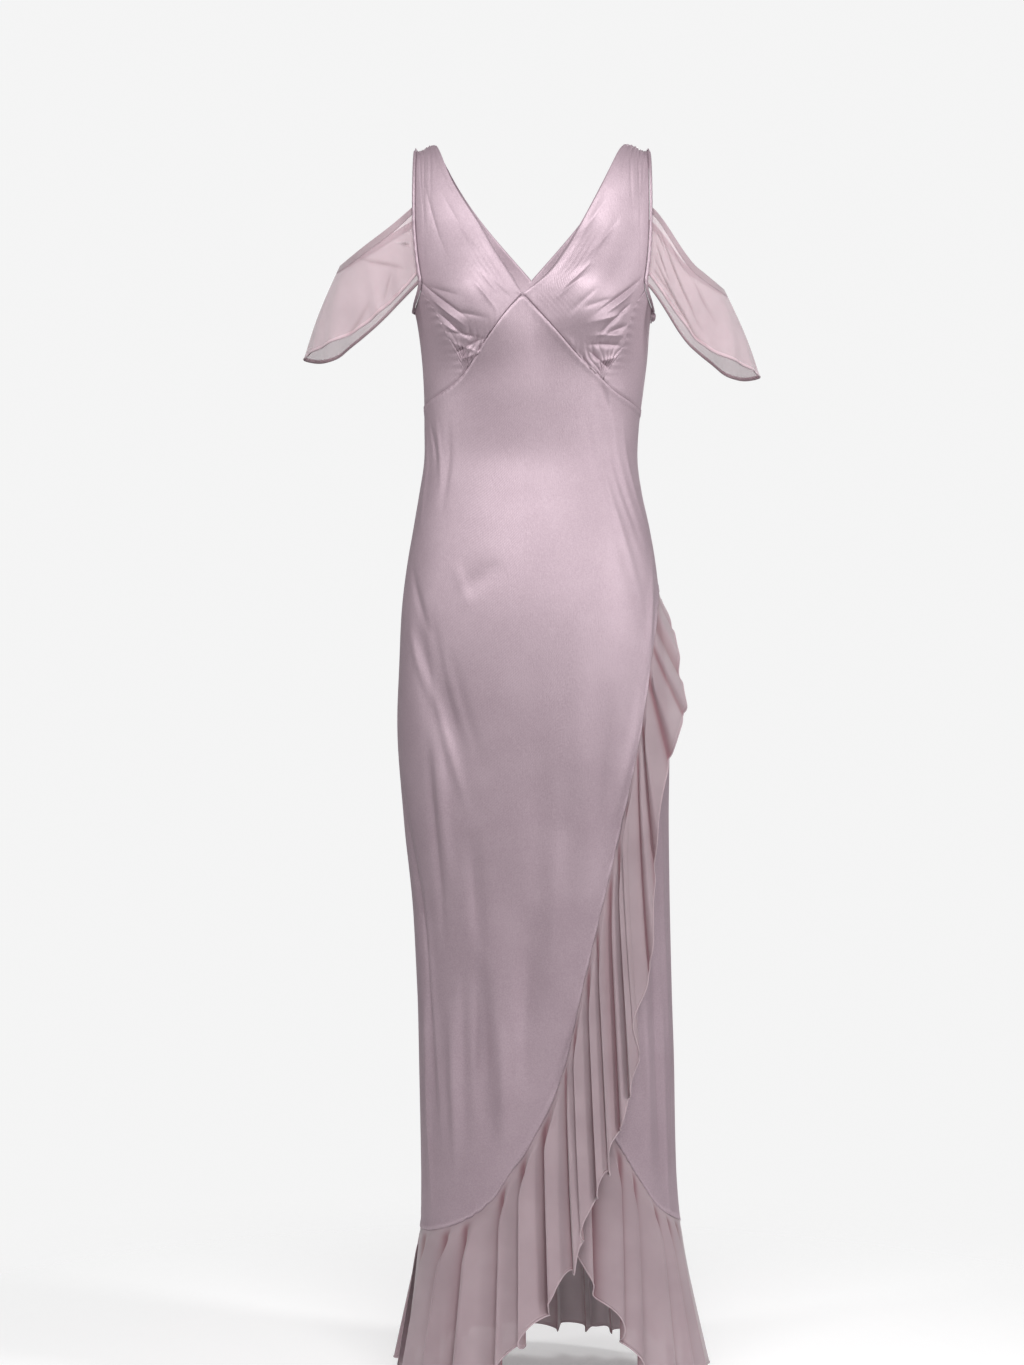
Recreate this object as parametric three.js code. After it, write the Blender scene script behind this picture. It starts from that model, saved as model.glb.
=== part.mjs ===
import * as THREE from 'three';

// Bias-cut satin maxi dress with a V neck, gathered cups, a wrap front with a cascading georgette
// flounce, and cold-shoulder flutter sleeves, in the hollow form it has when worn.
// Millimetres. The origin is on the line where the straps lie on the shoulders, midway between them.
// +X is the wearer's left, -Y the front, +Z up. A drop is a distance below the origin, an angle is
// in degrees round the dress: 0 centre front, 90 left side, 180 centre back, -90 right side.

const CLOTH = 1.2;
const SEAM_GAP = 0.4;
const STRAP_GAP = 0.3;
const SHOULDER_ROUND = 100;
const SHOULDER_FALL = 0.3;
const NECK_POINT = { angle: -4, drop: 195 };
const HEM_DROP = 1462;
const CUP_REACH = 30;
const CUP_APEX = { x: 78, drop: 215, half: 50, above: 85, below: 45 };

// Girth of the dress: half widths to each side, depths to the front and back, and how square it is.
const RINGS = [
  { drop: 0, right: 150, left: 150, front: 80, back: 88, square: 0.30 },
  { drop: 100, right: 150, left: 150, front: 82, back: 94, square: 0.30 },
  { drop: 145, right: 148, left: 149, front: 90, back: 99, square: 0.26 },
  { drop: 185, right: 143, left: 145, front: 97, back: 98, square: 0.20 },
  { drop: 220, right: 136, left: 140, front: 96, back: 92, square: 0.14 },
  { drop: 260, right: 131, left: 137, front: 94, back: 86, square: 0.11 },
  { drop: 300, right: 128.5, left: 132, front: 92, back: 78, square: 0.10 },
  { drop: 340, right: 128, left: 127, front: 88, back: 71, square: 0.10 },
  { drop: 380, right: 128, left: 125.5, front: 86, back: 68, square: 0.10 },
  { drop: 420, right: 134, left: 131, front: 90, back: 74, square: 0.10 },
  { drop: 460, right: 141, left: 140, front: 96, back: 86, square: 0.10 },
  { drop: 500, right: 148, left: 147, front: 102, back: 100, square: 0.10 },
  { drop: 550, right: 154, left: 152, front: 108, back: 114, square: 0.10 },
  { drop: 600, right: 157, left: 157, front: 110, back: 122, square: 0.10 },
  { drop: 700, right: 160, left: 163, front: 108, back: 122, square: 0.10 },
  { drop: 800, right: 153, left: 163, front: 104, back: 120, square: 0.09 },
  { drop: 920, right: 140, left: 164, front: 101, back: 123, square: 0.08 },
  { drop: 1060, right: 135, left: 168, front: 105, back: 132, square: 0.08 },
  { drop: 1220, right: 132, left: 172, front: 112, back: 147, square: 0.08 },
  { drop: 1295, right: 133, left: 177, front: 116, back: 155, square: 0.08 },
  { drop: 1480, right: 148, left: 188, front: 136, back: 188, square: 0.08 },
];

// Soft troughs in the satin where it drapes, from one end to the other.
const CREASES = [
  { angle1: -64, drop1: 520, angle2: -24, drop2: 810, width: 15, depth: 4 },
  { angle1: -52, drop1: 600, angle2: -18, drop2: 760, width: 13, depth: 2.5 },
  { angle1: -80, drop1: 750, angle2: -52, drop2: 1180, width: 20, depth: 5 },
  { angle1: -30, drop1: 930, angle2: -22, drop2: 1190, width: 17, depth: 3.5 },
  { angle1: -6, drop1: 850, angle2: -2, drop2: 1130, width: 20, depth: 3 },
  { angle1: 30, drop1: 315, angle2: 60, drop2: 600, width: 20, depth: 3 },
  { angle1: 112, drop1: 560, angle2: 150, drop2: 840, width: 17, depth: 4 },
  { angle1: 252, drop1: 540, angle2: 214, drop2: 800, width: 17, depth: 4 },
  { angle1: 172, drop1: 860, angle2: 178, drop2: 1230, width: 20, depth: 4 },
  { angle1: 128, drop1: 900, angle2: 132, drop2: 1240, width: 20, depth: 5 },
  { angle1: 222, drop1: 880, angle2: 226, drop2: 1240, width: 20, depth: 5 },
];
const CREASE_RADIUS = 150;

// Drop of the under-bust seam against the angle, falling to each side from the point of the V.
const UNDER_BUST_RIGHT = [
  { angle: -90, drop: 316 },
  { angle: -68, drop: 312 },
  { angle: -46, drop: 299 },
  { angle: -34, drop: 282 },
  { angle: -20, drop: 243 },
  { angle: -11, drop: 215 },
  { angle: -4, drop: 195 },
];
const UNDER_BUST_LEFT = [
  { angle: -4, drop: 195 },
  { angle: 9, drop: 234 },
  { angle: 20.5, drop: 265 },
  { angle: 32, drop: 287 },
  { angle: 46, drop: 306 },
  { angle: 70, drop: 319 },
  { angle: 90, drop: 322 },
];
const BACK_SEAM = { side: 319, centre: 300 };

// Half the V neck on each side, the armhole, and the seam from the armhole to the under-bust seam.
const NECK_FRONT = [
  { drop: 0, right: -42, left: 39.5 },
  { drop: 8, right: -39.3, left: 36.6 },
  { drop: 20, right: -37, left: 33.6 },
  { drop: 51, right: -32, left: 27.6 },
  { drop: 82, right: -25.4, left: 22 },
  { drop: 112, right: -18.9, left: 16.8 },
  { drop: 142, right: -13.9, left: 11.6 },
  { drop: 171, right: -8.4, left: 5.2 },
  { drop: 195, right: -4, left: -4 },
];
const CUP_TIP = { right: -33.5, left: 34.5 };
const CUP_SEAM = [
  { drop: 185, right: -59, left: 58.5 },
  { drop: 205, right: -53, left: 52 },
  { drop: 230, right: -47.5, left: 49 },
  { drop: 256, right: -41, left: 46 },
  { drop: 287, right: -35, left: 36 },
];
const NECK_BACK = { angle: 40, drop: 150 };
const ARMHOLE = { angle: 61, straight: 170, bottom: 196 };
const BAND_WIDTH = 8;
const BAND_ANGLE = 5;
const BAND_CLEAR = 1.1;
const CUP_SEAM_START = 0.8;
const UNDERARM_STEPS = 5;
const CUP_STEPS = { right: 5, left: 6 };

// Diagonal wrap seam of the overlap and the hem seam of the underlap, drop against angle.
const WRAP_SEAM = [
  { angle: -90, drop: 1290 },
  { angle: -62, drop: 1283 },
  { angle: -38, drop: 1268 },
  { angle: -21, drop: 1243 },
  { angle: -9, drop: 1203 },
  { angle: 0.5, drop: 1167 },
  { angle: 11, drop: 1094 },
  { angle: 18.5, drop: 1001 },
  { angle: 26, drop: 918 },
  { angle: 36, drop: 816 },
  { angle: 46, drop: 713 },
  { angle: 57, drop: 625 },
  { angle: 67, drop: 578 },
  { angle: 78, drop: 546 },
  { angle: 90, drop: 532 },
];
const UNDERLAP_SEAM = [
  { angle: 11, drop: 1086 },
  { angle: 19, drop: 1122 },
  { angle: 34.7, drop: 1181 },
  { angle: 44, drop: 1217 },
  { angle: 58, drop: 1256 },
  { angle: 90, drop: 1284 },
];
const UNDERLAP_DEPTH = { front: 4, side: 1.7 };
const UNDERLAP_COVER = 40;
const SIDE_FRONT = 89.85;

// Flounces: for each place along the seam, from its right end as worn, how far the cloth falls, how
// it turns round the dress on the way, how far it stands off at its edge, and how high its waves are.
const OVERLAP_FLOUNCE = [
  { along: 0.00, fall: HEM_DROP - 1290, turn: 0, lift: 0, wave: 0 },
  { along: 0.10, fall: 187, turn: 2, lift: 8, wave: 20 },
  { along: 0.18, fall: 200, turn: 2, lift: 14, wave: 20 },
  { along: 0.28, fall: 218, turn: 1, lift: 15, wave: 20 },
  { along: 0.38, fall: 236, turn: 1, lift: 14, wave: 21 },
  { along: 0.47, fall: 258, turn: 1, lift: 13, wave: 22 },
  { along: 0.56, fall: 284, turn: 1, lift: 11, wave: 22 },
  { along: 0.65, fall: 298, turn: 1, lift: 9, wave: 19 },
  { along: 0.72, fall: 290, turn: 2, lift: 7, wave: 16 },
  { along: 0.77, fall: 252, turn: 4, lift: 6, wave: 13 },
  { along: 0.81, fall: 150, turn: 5, lift: 5, wave: 11 },
  { along: 0.85, fall: 100, turn: 8, lift: 8, wave: 9 },
  { along: 0.90, fall: 80, turn: 12, lift: 18, wave: 7 },
  { along: 0.96, fall: 46, turn: 7, lift: 13, wave: 4 },
  { along: 1.00, fall: 12, turn: 0, lift: 2, wave: 0 },
];
const OVERLAP_WAVES = { count: 15, uneven: 0.5, sway: 5 };
const UNDERLAP_FLOUNCE = [
  { along: 0.00, fall: 205, turn: 2, lift: 0, wave: 6 },
  { along: 0.30, fall: 215, turn: -2, lift: 1, wave: 10 },
  { along: 0.55, fall: 222, turn: -4, lift: 3, wave: 14 },
  { along: 0.80, fall: 190, turn: 0, lift: 12, wave: 14 },
  { along: 1.00, fall: HEM_DROP - 1284, turn: 0, lift: 22, wave: 0 },
];
const UNDERLAP_WAVES = { count: 5, uneven: 0.4, sway: 3 };
const BACK_FLOUNCE = [
  { along: 0.00, fall: HEM_DROP - 1284, turn: 0, lift: 22, wave: 0 },
  { along: 0.12, fall: 176, turn: 0, lift: 12, wave: 20 },
  { along: 0.88, fall: 174, turn: 0, lift: 4, wave: 20 },
  { along: 1.00, fall: HEM_DROP - 1290, turn: 0, lift: 0, wave: 0 },
];
const BACK_WAVES = { count: 11, uneven: 0.4, sway: 4 };
const FLARE_START = 1.3;

// Sleeve from its front end round the arm to its back end: the bound top edge and the hem. X is
// measured outwards on each side, and the left sleeve is worn a little lower.
const SLEEVE = [
  { topX: 166, topY: -55, topDrop: 109, hemX: 155, hemY: -60, hemDrop: 189 },
  { topX: 198, topY: -48, topDrop: 132, hemX: 182, hemY: -65, hemDrop: 215 },
  { topX: 220, topY: -24, topDrop: 145, hemX: 226, hemY: -50, hemDrop: 242 },
  { topX: 229, topY: 4, topDrop: 147, hemX: 271, hemY: -4, hemDrop: 255 },
  { topX: 218, topY: 34, topDrop: 134, hemX: 246, hemY: 46, hemDrop: 256 },
  { topX: 186, topY: 56, topDrop: 110, hemX: 196, hemY: 66, hemDrop: 217 },
];
const SLEEVE_FRONT_END = { topDrop: 84, hemDrop: 165 };
const SLEEVE_BACK_END = { topDrop: 80, hemDrop: 158 };
const LEFT_SLEEVE_SLIP = 28;
const SLEEVE_BAND = 9;
const SLEEVE_CENTRE = { x: 165, y: 2 };
const SLEEVE_BULGE = 4;
const SLEEVE_WAVES = { count: 5, height: 4 };

const CUP_GATHERS = { count: 5, height: 1.4 };
const BUTTON = { angle: 86, drop: 209, radius: 5, height: 5 };
const LOOP = { radius: 7, thread: 0.8 };

const RADIAN = Math.PI / 180;
const satin = { color: 0xbea8b4, roughness: 0.38, metalness: 0 };
const georgette = { color: 0xbba3ae, roughness: 0.85, metalness: 0 };

// Smooth curve through the rows of a table: cubic pieces whose slopes follow the neighbouring rows.
function through(table, key, column, at) {
  const last = table.length - 1;
  const t = Math.min(Math.max(at, table[0][key]), table[last][key]);
  let i = 0;
  while (i < last - 1 && t > table[i + 1][key]) i += 1;
  const slope = (k) => {
    const a = table[Math.max(k - 1, 0)];
    const b = table[Math.min(k + 1, last)];
    return (b[column] - a[column]) / (b[key] - a[key]);
  };
  const width = table[i + 1][key] - table[i][key];
  const s = (t - table[i][key]) / width;
  const rise = table[i + 1][column] - table[i][column];
  const m1 = slope(i) * width;
  const m2 = slope(i + 1) * width;
  return table[i][column] + s * (m1 + s * (3 * rise - 2 * m1 - m2 + s * (m1 + m2 - 2 * rise)));
}

function mix(a, b, t) {
  return a + (b - a) * t;
}

function ease(low, high, at) {
  const t = Math.min(Math.max((at - low) / (high - low), 0), 1);
  return t * t * (3 - 2 * t);
}

function creaseDepth(angle, drop) {
  let sum = 0;
  for (const c of CREASES) {
    const turn = angle < -90.001 ? angle + 360 : angle;
    const dx = (c.angle2 - c.angle1) * RADIAN * CREASE_RADIUS;
    const dy = c.drop2 - c.drop1;
    const px = (turn - c.angle1) * RADIAN * CREASE_RADIUS;
    const py = drop - c.drop1;
    const t = (px * dx + py * dy) / (dx * dx + dy * dy);
    if (t <= 0 || t >= 1) continue;
    const off = (px * dy - py * dx) / Math.hypot(dx, dy) / c.width;
    sum += c.depth * Math.exp(-off * off) * Math.sin(Math.PI * t) ** 1.2;
  }
  return sum;
}

// A point of the dress's outer form: a squared oval at each drop, closed over the shoulders by a
// quarter ellipse, with the fullness of the two cups and the creases of the cloth.
function form(angle, drop) {
  const a = angle * RADIAN;
  const s = Math.sin(a);
  const c = Math.cos(a);
  const square = through(RINGS, 'drop', 'square', drop);
  const width = through(RINGS, 'drop', s < 0 ? 'right' : 'left', drop);
  const deep = through(RINGS, 'drop', c > 0 ? 'front' : 'back', drop);
  const up = Math.max(1 - drop / SHOULDER_ROUND, 0);
  const closing = Math.sqrt(Math.max(1 - up * up, 0));
  const x = width * s * (1 + square * c * c);
  const acrossCup = (Math.abs(x) - CUP_APEX.x) / CUP_APEX.half;
  const spread = drop < CUP_APEX.drop ? CUP_APEX.above : CUP_APEX.below;
  const downCup = (drop - CUP_APEX.drop) / spread;
  const cup = c > 0 ? CUP_REACH * c * Math.exp(-acrossCup * acrossCup - downCup * downCup) : 0;
  const crease = creaseDepth(angle, drop);
  const y = -deep * closing * c * (1 + square * s * s) - cup * closing;
  const fall = SHOULDER_FALL * Math.max(Math.abs(x) - 100, 0) * Math.exp(-drop / 45);
  return new THREE.Vector3(x - crease * s, y + crease * c, -drop - fall);
}

// The same point moved out along the form's normal.
function skin(angle, drop, lift = 0) {
  const p = form(angle, drop);
  if (lift === 0) return p;
  const around = form(angle + 0.5, drop).sub(form(angle - 0.5, drop));
  const down = form(angle, drop + 1).sub(form(angle, Math.max(drop - 1, 0)));
  return p.addScaledVector(down.cross(around).normalize(), lift);
}

function fractions(count, power = 1) {
  return Array.from({ length: count + 1 }, (_, i) => (i / count) ** power);
}

// Grid of points: rows run down the dress, and in each row the angle grows.
function grid(acrossStops, downStops, point) {
  return downStops.map((v) => acrossStops.map((u) => point(u, v)));
}

// Closed wall of cloth: its outer face goes through the grids, which may share edges; the inner
// face lies one cloth further in, and every free edge is closed between the two.
function wall(grids, thickness = CLOTH) {
  const outer = [];
  const found = new Map();
  const index = (p) => {
    const key = [p.x, p.y, p.z].map((n) => Math.round(n * 100)).join(',');
    if (!found.has(key)) {
      found.set(key, outer.length);
      outer.push(p.clone());
    }
    return found.get(key);
  };
  const faces = [];
  for (const rows of grids) {
    const ids = rows.map((row) => row.map(index));
    for (let j = 0; j + 1 < rows.length; j += 1) {
      for (let i = 0; i + 1 < rows[j].length; i += 1) {
        const [a, b, c, d] = [ids[j][i], ids[j][i + 1], ids[j + 1][i + 1], ids[j + 1][i]];
        for (const face of [[a, d, b], [b, d, c]]) {
          if (new Set(face).size === 3) faces.push(face);
        }
      }
    }
  }
  const normals = outer.map(() => new THREE.Vector3());
  for (const [a, b, c] of faces) {
    const ab = outer[b].clone().sub(outer[a]);
    const area = ab.cross(outer[c].clone().sub(outer[a]));
    for (const k of [a, b, c]) normals[k].add(area);
  }
  const inner = outer.map((p, k) => p.clone().addScaledVector(normals[k].normalize(), -thickness));
  const count = outer.length;
  const edges = new Set(faces.flatMap(([a, b, c]) => [`${a},${b}`, `${b},${c}`, `${c},${a}`]));
  const triangles = faces.flatMap(([a, b, c]) => [a, b, c, a + count, c + count, b + count]);
  for (const edge of edges) {
    const [a, b] = edge.split(',').map(Number);
    if (edges.has(`${b},${a}`)) continue;
    triangles.push(a, b + count, b, a, a + count, b + count);
  }
  const geometry = new THREE.BufferGeometry();
  const positions = [...outer, ...inner].flatMap((p) => [p.x, p.y, p.z]);
  geometry.setAttribute('position', new THREE.Float32BufferAttribute(positions, 3));
  geometry.setIndex(triangles);
  geometry.computeVertexNormals();
  return geometry;
}

const dress = new THREE.Group();

function add(name, geometry, finish) {
  const mesh = new THREE.Mesh(geometry, new THREE.MeshStandardMaterial(finish));
  mesh.name = name;
  dress.add(mesh);
  return mesh;
}

const STRAP_STOPS = fractions(11).map((t) => t * CUP_SEAM_START);
const UNDERARM_STOPS = fractions(UNDERARM_STEPS).slice(1).map((t) => mix(CUP_SEAM_START, 1, t));

function underBust(angle) {
  const side = angle < NECK_POINT.angle ? UNDER_BUST_RIGHT : UNDER_BUST_LEFT;
  return through(side, 'angle', 'drop', angle);
}

function backSeam(angle) {
  return mix(BACK_SEAM.side, BACK_SEAM.centre, Math.sin((angle - 90) * RADIAN));
}

// Armhole edge at a fraction of the way from the shoulder down to the underarm.
function armholeEdge(t, inset = 0) {
  const curve = 0.72;
  const angle = ARMHOLE.angle - inset * BAND_ANGLE;
  const bottom = ARMHOLE.bottom + inset * BAND_WIDTH;
  if (t < curve) return { angle, drop: ARMHOLE.straight * (t / curve) ** 2 };
  const a = ((t - curve) / (1 - curve)) * Math.PI / 2;
  return {
    angle: 90 - (90 - angle) * Math.cos(a),
    drop: mix(ARMHOLE.straight, bottom, Math.sin(a)),
  };
}

// Cup with its front strap: rows cross from the neck edge to the armhole band, then from the
// under-bust seam to the cup seam.
function cup(side) {
  const sign = side === 'left' ? 1 : -1;
  const last = CUP_SEAM.at(-1).drop;
  const strap = (t) => {
    const drop = NECK_POINT.drop * (t / CUP_SEAM_START) ** 2;
    const edge = armholeEdge(t, BAND_CLEAR);
    return {
      inner: { angle: through(NECK_FRONT, 'drop', side, drop) + sign * 0.15, drop },
      outer: { angle: sign * (edge.angle - 0.15 - 0.3 * (t / CUP_SEAM_START)), drop: edge.drop },
    };
  };
  const lower = (t) => {
    const angle = mix(NECK_POINT.angle, CUP_TIP[side], t);
    const drop = mix(CUP_SEAM[0].drop, last, t);
    const seam = through(CUP_SEAM, 'drop', side, drop) - sign * 0.5;
    return {
      inner: { angle, drop: underBust(angle) - 1.2 * SEAM_GAP },
      outer: { angle: seam, drop: Math.min(drop, underBust(seam) - 3 * SEAM_GAP) },
    };
  };
  const rows = [...STRAP_STOPS.map(strap), ...fractions(CUP_STEPS[side]).slice(1).map(lower)];
  const point = (u, row) => {
    const angle = mix(row.inner.angle, row.outer.angle, u);
    const drop = mix(row.inner.drop, row.outer.drop, u);
    const gathers = 0.5 * Math.cos(2 * Math.PI * CUP_GATHERS.count * u) - 0.5;
    const strength = 0.35 + 0.65 * Math.exp(-((drop - 20) ** 2) / 2500) + ease(240, 275, drop) * 0.6;
    const edge = Math.min(1, 8 * u, 8 * (1 - u)) * ease(1, 14, Math.abs(row.outer.angle - row.inner.angle));
    const p = skin(angle, drop, CUP_GATHERS.height * gathers * strength * edge);
    if (drop < 0.01) p.y -= STRAP_GAP;
    return p;
  };
  const across = fractions(11);
  const ordered = side === 'left' ? across : across.slice().reverse();
  return wall([grid(ordered, rows, point)]);
}

// Panel between cup seam, armhole band, side seam and under-bust seam, filled from its four edges.
function sideBodice(side) {
  const sign = side === 'left' ? 1 : -1;
  const seamAngle = (drop) => Math.abs(through(CUP_SEAM, 'drop', side, drop)) + 0.6;
  const tip = { angle: Math.abs(CUP_TIP[side]) + 2.6 };
  tip.drop = underBust(sign * tip.angle) - 2 * SEAM_GAP;
  const top = (u) => armholeEdge(mix(CUP_SEAM_START, 1, Math.max(u, 0.05)), BAND_CLEAR);
  const bottom = (u) => {
    const angle = mix(tip.angle, SIDE_FRONT, u);
    return { angle, drop: underBust(sign * angle) - 2 * SEAM_GAP };
  };
  const inner = (v) => {
    const drop = mix(top(0).drop, tip.drop, v);
    const corner = v < 0.5 ? top(0).angle : tip.angle;
    return { angle: mix(seamAngle(drop), corner, Math.abs(2 * v - 1) ** 8), drop };
  };
  const outer = (v) => ({ angle: SIDE_FRONT, drop: mix(top(1).drop, bottom(1).drop, v) });
  const point = (u, v) => {
    const at = (key) => {
      const sides = mix(top(u)[key], bottom(u)[key], v) + mix(inner(v)[key], outer(v)[key], u);
      const corners = mix(mix(top(0)[key], top(1)[key], u), mix(bottom(0)[key], bottom(1)[key], u), v);
      return sides - corners;
    };
    return skin(sign * Math.min(at('angle'), SIDE_FRONT), at('drop'));
  };
  const across = fractions(UNDERARM_STEPS);
  const ordered = side === 'left' ? across : across.slice().reverse();
  return wall([grid(ordered, fractions(8), point)]);
}

function armholeBand(side) {
  const sign = side === 'left' ? 1 : -1;
  const stops = [...STRAP_STOPS, ...UNDERARM_STOPS];
  const point = (inset, t, back) => {
    const edge = armholeEdge(t, inset);
    return skin(sign * (back ? 180 - edge.angle : edge.angle), edge.drop);
  };
  const width = side === 'left' ? [0.98, 0.5, 0] : [0, 0.5, 0.98];
  const front = grid(width, stops, (w, t) => point(w, t, false));
  const back = grid(width.slice().reverse(), stops, (w, t) => point(w, t, true));
  return wall([front, back]);
}

function backBodice() {
  const side = 0.7;
  const centre = 0.56;
  const half = (sign) => {
    const outerEdge = (v) => {
      if (v <= side) return armholeEdge(v / side, BAND_CLEAR);
      const top = armholeEdge(1, BAND_CLEAR).drop;
      return { angle: 90, drop: mix(top, BACK_SEAM.side, (v - side) / (1 - side)) };
    };
    const innerEdge = (v) => {
      if (v < centre) {
        const t = (v / centre) ** 2;
        return { angle: mix(NECK_BACK.angle, 0, t), drop: NECK_BACK.drop * t };
      }
      return { angle: 0, drop: mix(NECK_BACK.drop, BACK_SEAM.centre, (v - centre) / (1 - centre)) };
    };
    const point = (u, v) => {
      const from = innerEdge(v);
      const to = outerEdge(v);
      const angle = 180 - Math.min(mix(from.angle, to.angle, u), SIDE_FRONT);
      let drop = mix(from.drop, to.drop, u);
      if (v > 0.999) drop = backSeam(angle) - SEAM_GAP;
      const p = skin(sign * angle, drop);
      if (drop < 0.01) p.y += STRAP_GAP;
      return p;
    };
    const across = sign > 0 ? fractions(7).reverse() : fractions(7);
    const down = [...STRAP_STOPS, ...UNDERARM_STOPS].map((t) => t * side);
    return grid(across, [...down, ...fractions(4).slice(1).map((t) => mix(side, 1, t))], point);
  };
  return wall([half(1), half(-1)]);
}

// Front from the under-bust seam to the wrap seam.
function overlapPoint(angle, v) {
  const top = underBust(angle) + SEAM_GAP;
  const bottom = through(WRAP_SEAM, 'angle', 'drop', angle);
  return skin(angle, mix(top, bottom, v));
}

const stretch = (from, to, steps) => fractions(steps).slice(1).map((t) => mix(from, to, t));
const overlapAngles = [
  -SIDE_FRONT,
  ...stretch(-SIDE_FRONT, CUP_TIP.right, 2 * UNDERARM_STEPS),
  ...stretch(CUP_TIP.right, NECK_POINT.angle, CUP_STEPS.right),
  ...stretch(NECK_POINT.angle, CUP_TIP.left, CUP_STEPS.left),
  ...stretch(CUP_TIP.left, SIDE_FRONT, 2 * UNDERARM_STEPS),
];

function underlapDepth(angle) {
  return mix(UNDERLAP_DEPTH.front, UNDERLAP_DEPTH.side, ease(72, 90, angle));
}

// Panel behind the wrap: its upper edge is covered by the overlap, and it reaches the side seam.
function underlapPoint(angle, v) {
  const cover = UNDERLAP_COVER * Math.min((90 - angle) / 28, 1);
  const top = through(WRAP_SEAM, 'angle', 'drop', angle) - cover;
  const bottom = through(UNDERLAP_SEAM, 'angle', 'drop', angle);
  return skin(angle, mix(top, bottom, v), -underlapDepth(angle));
}

function backSkirtPoint(angle, v) {
  const bottom = mix(UNDERLAP_SEAM[UNDERLAP_SEAM.length - 1].drop, WRAP_SEAM[0].drop, (angle - 90) / 180);
  return skin(angle, mix(backSeam(angle) + SEAM_GAP, bottom, v));
}

// A point at a fraction of the length of a line of points.
function alongLine(line, fraction) {
  const steps = line.slice(1).map((p, i) => p.point.distanceTo(line[i].point));
  let left = fraction * steps.reduce((a, b) => a + b, 0);
  let i = 0;
  while (i < steps.length - 1 && left > steps[i]) {
    left -= steps[i];
    i += 1;
  }
  const t = Math.min(left / steps[i], 1);
  return {
    point: line[i].point.clone().lerp(line[i + 1].point, t),
    heading: line[i + 1].point.clone().sub(line[i].point),
    angle: mix(line[i].angle, line[i + 1].angle, t),
    drop: mix(line[i].drop, line[i + 1].drop, t),
  };
}

// Fractions of a line's length that hold each of its points, and more between them, a step apart.
function stopsAlong(line, step) {
  const lengths = line.slice(1).map((p, i) => p.point.distanceTo(line[i].point));
  const total = lengths.reduce((a, b) => a + b, 0);
  const stops = [0];
  let before = 0;
  for (const length of lengths) {
    const parts = Math.ceil(length / step);
    for (let k = 1; k <= parts; k += 1) stops.push((before + (length * k) / parts) / total);
    before += length;
  }
  return stops;
}

// Flounce hung from a seam: it falls and turns over the form, and stands off it in rounded waves
// that grow from nothing at the seam, sway sideways and are unevenly spaced.
function flounce(line, table, waves, step, rows, depth) {
  const point = (along, t) => {
    const from = alongLine(line, along);
    const fall = through(table, 'along', 'fall', along);
    const turn = through(table, 'along', 'turn', along);
    const lift = through(table, 'along', 'lift', along);
    const height = through(table, 'along', 'wave', along);
    const phase = 2 * Math.PI * waves.count * along + waves.uneven * Math.sin(waves.count * 2.6 * along);
    const grow = t ** FLARE_START;
    const sway = waves.sway * Math.sin(phase) * grow * (height / 20);
    const radius = 150;
    const angle = from.angle + turn * t ** 1.2 + sway / radius / RADIAN;
    const drop = from.drop + fall * t;
    const off = -depth(from.angle) + (lift + height * (0.5 - 0.5 * Math.cos(phase))) * grow;
    const p = skin(angle, drop, off);
    const seam = skin(from.angle, from.drop, -depth(from.angle));
    const outward = skin(from.angle, from.drop, 1).sub(skin(from.angle, from.drop));
    const clear = from.heading.clone().cross(outward).normalize().multiplyScalar(SEAM_GAP);
    const correction = from.point.clone().add(clear).sub(seam).multiplyScalar((1 - t) ** 2);
    return p.add(correction);
  };
  return wall([grid(stopsAlong(line, step), fractions(rows), point)]);
}

function seamLine(angles, point, drop) {
  return angles.map((angle) => ({ angle, point: point(angle, 1), drop: drop(angle) }));
}

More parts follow.
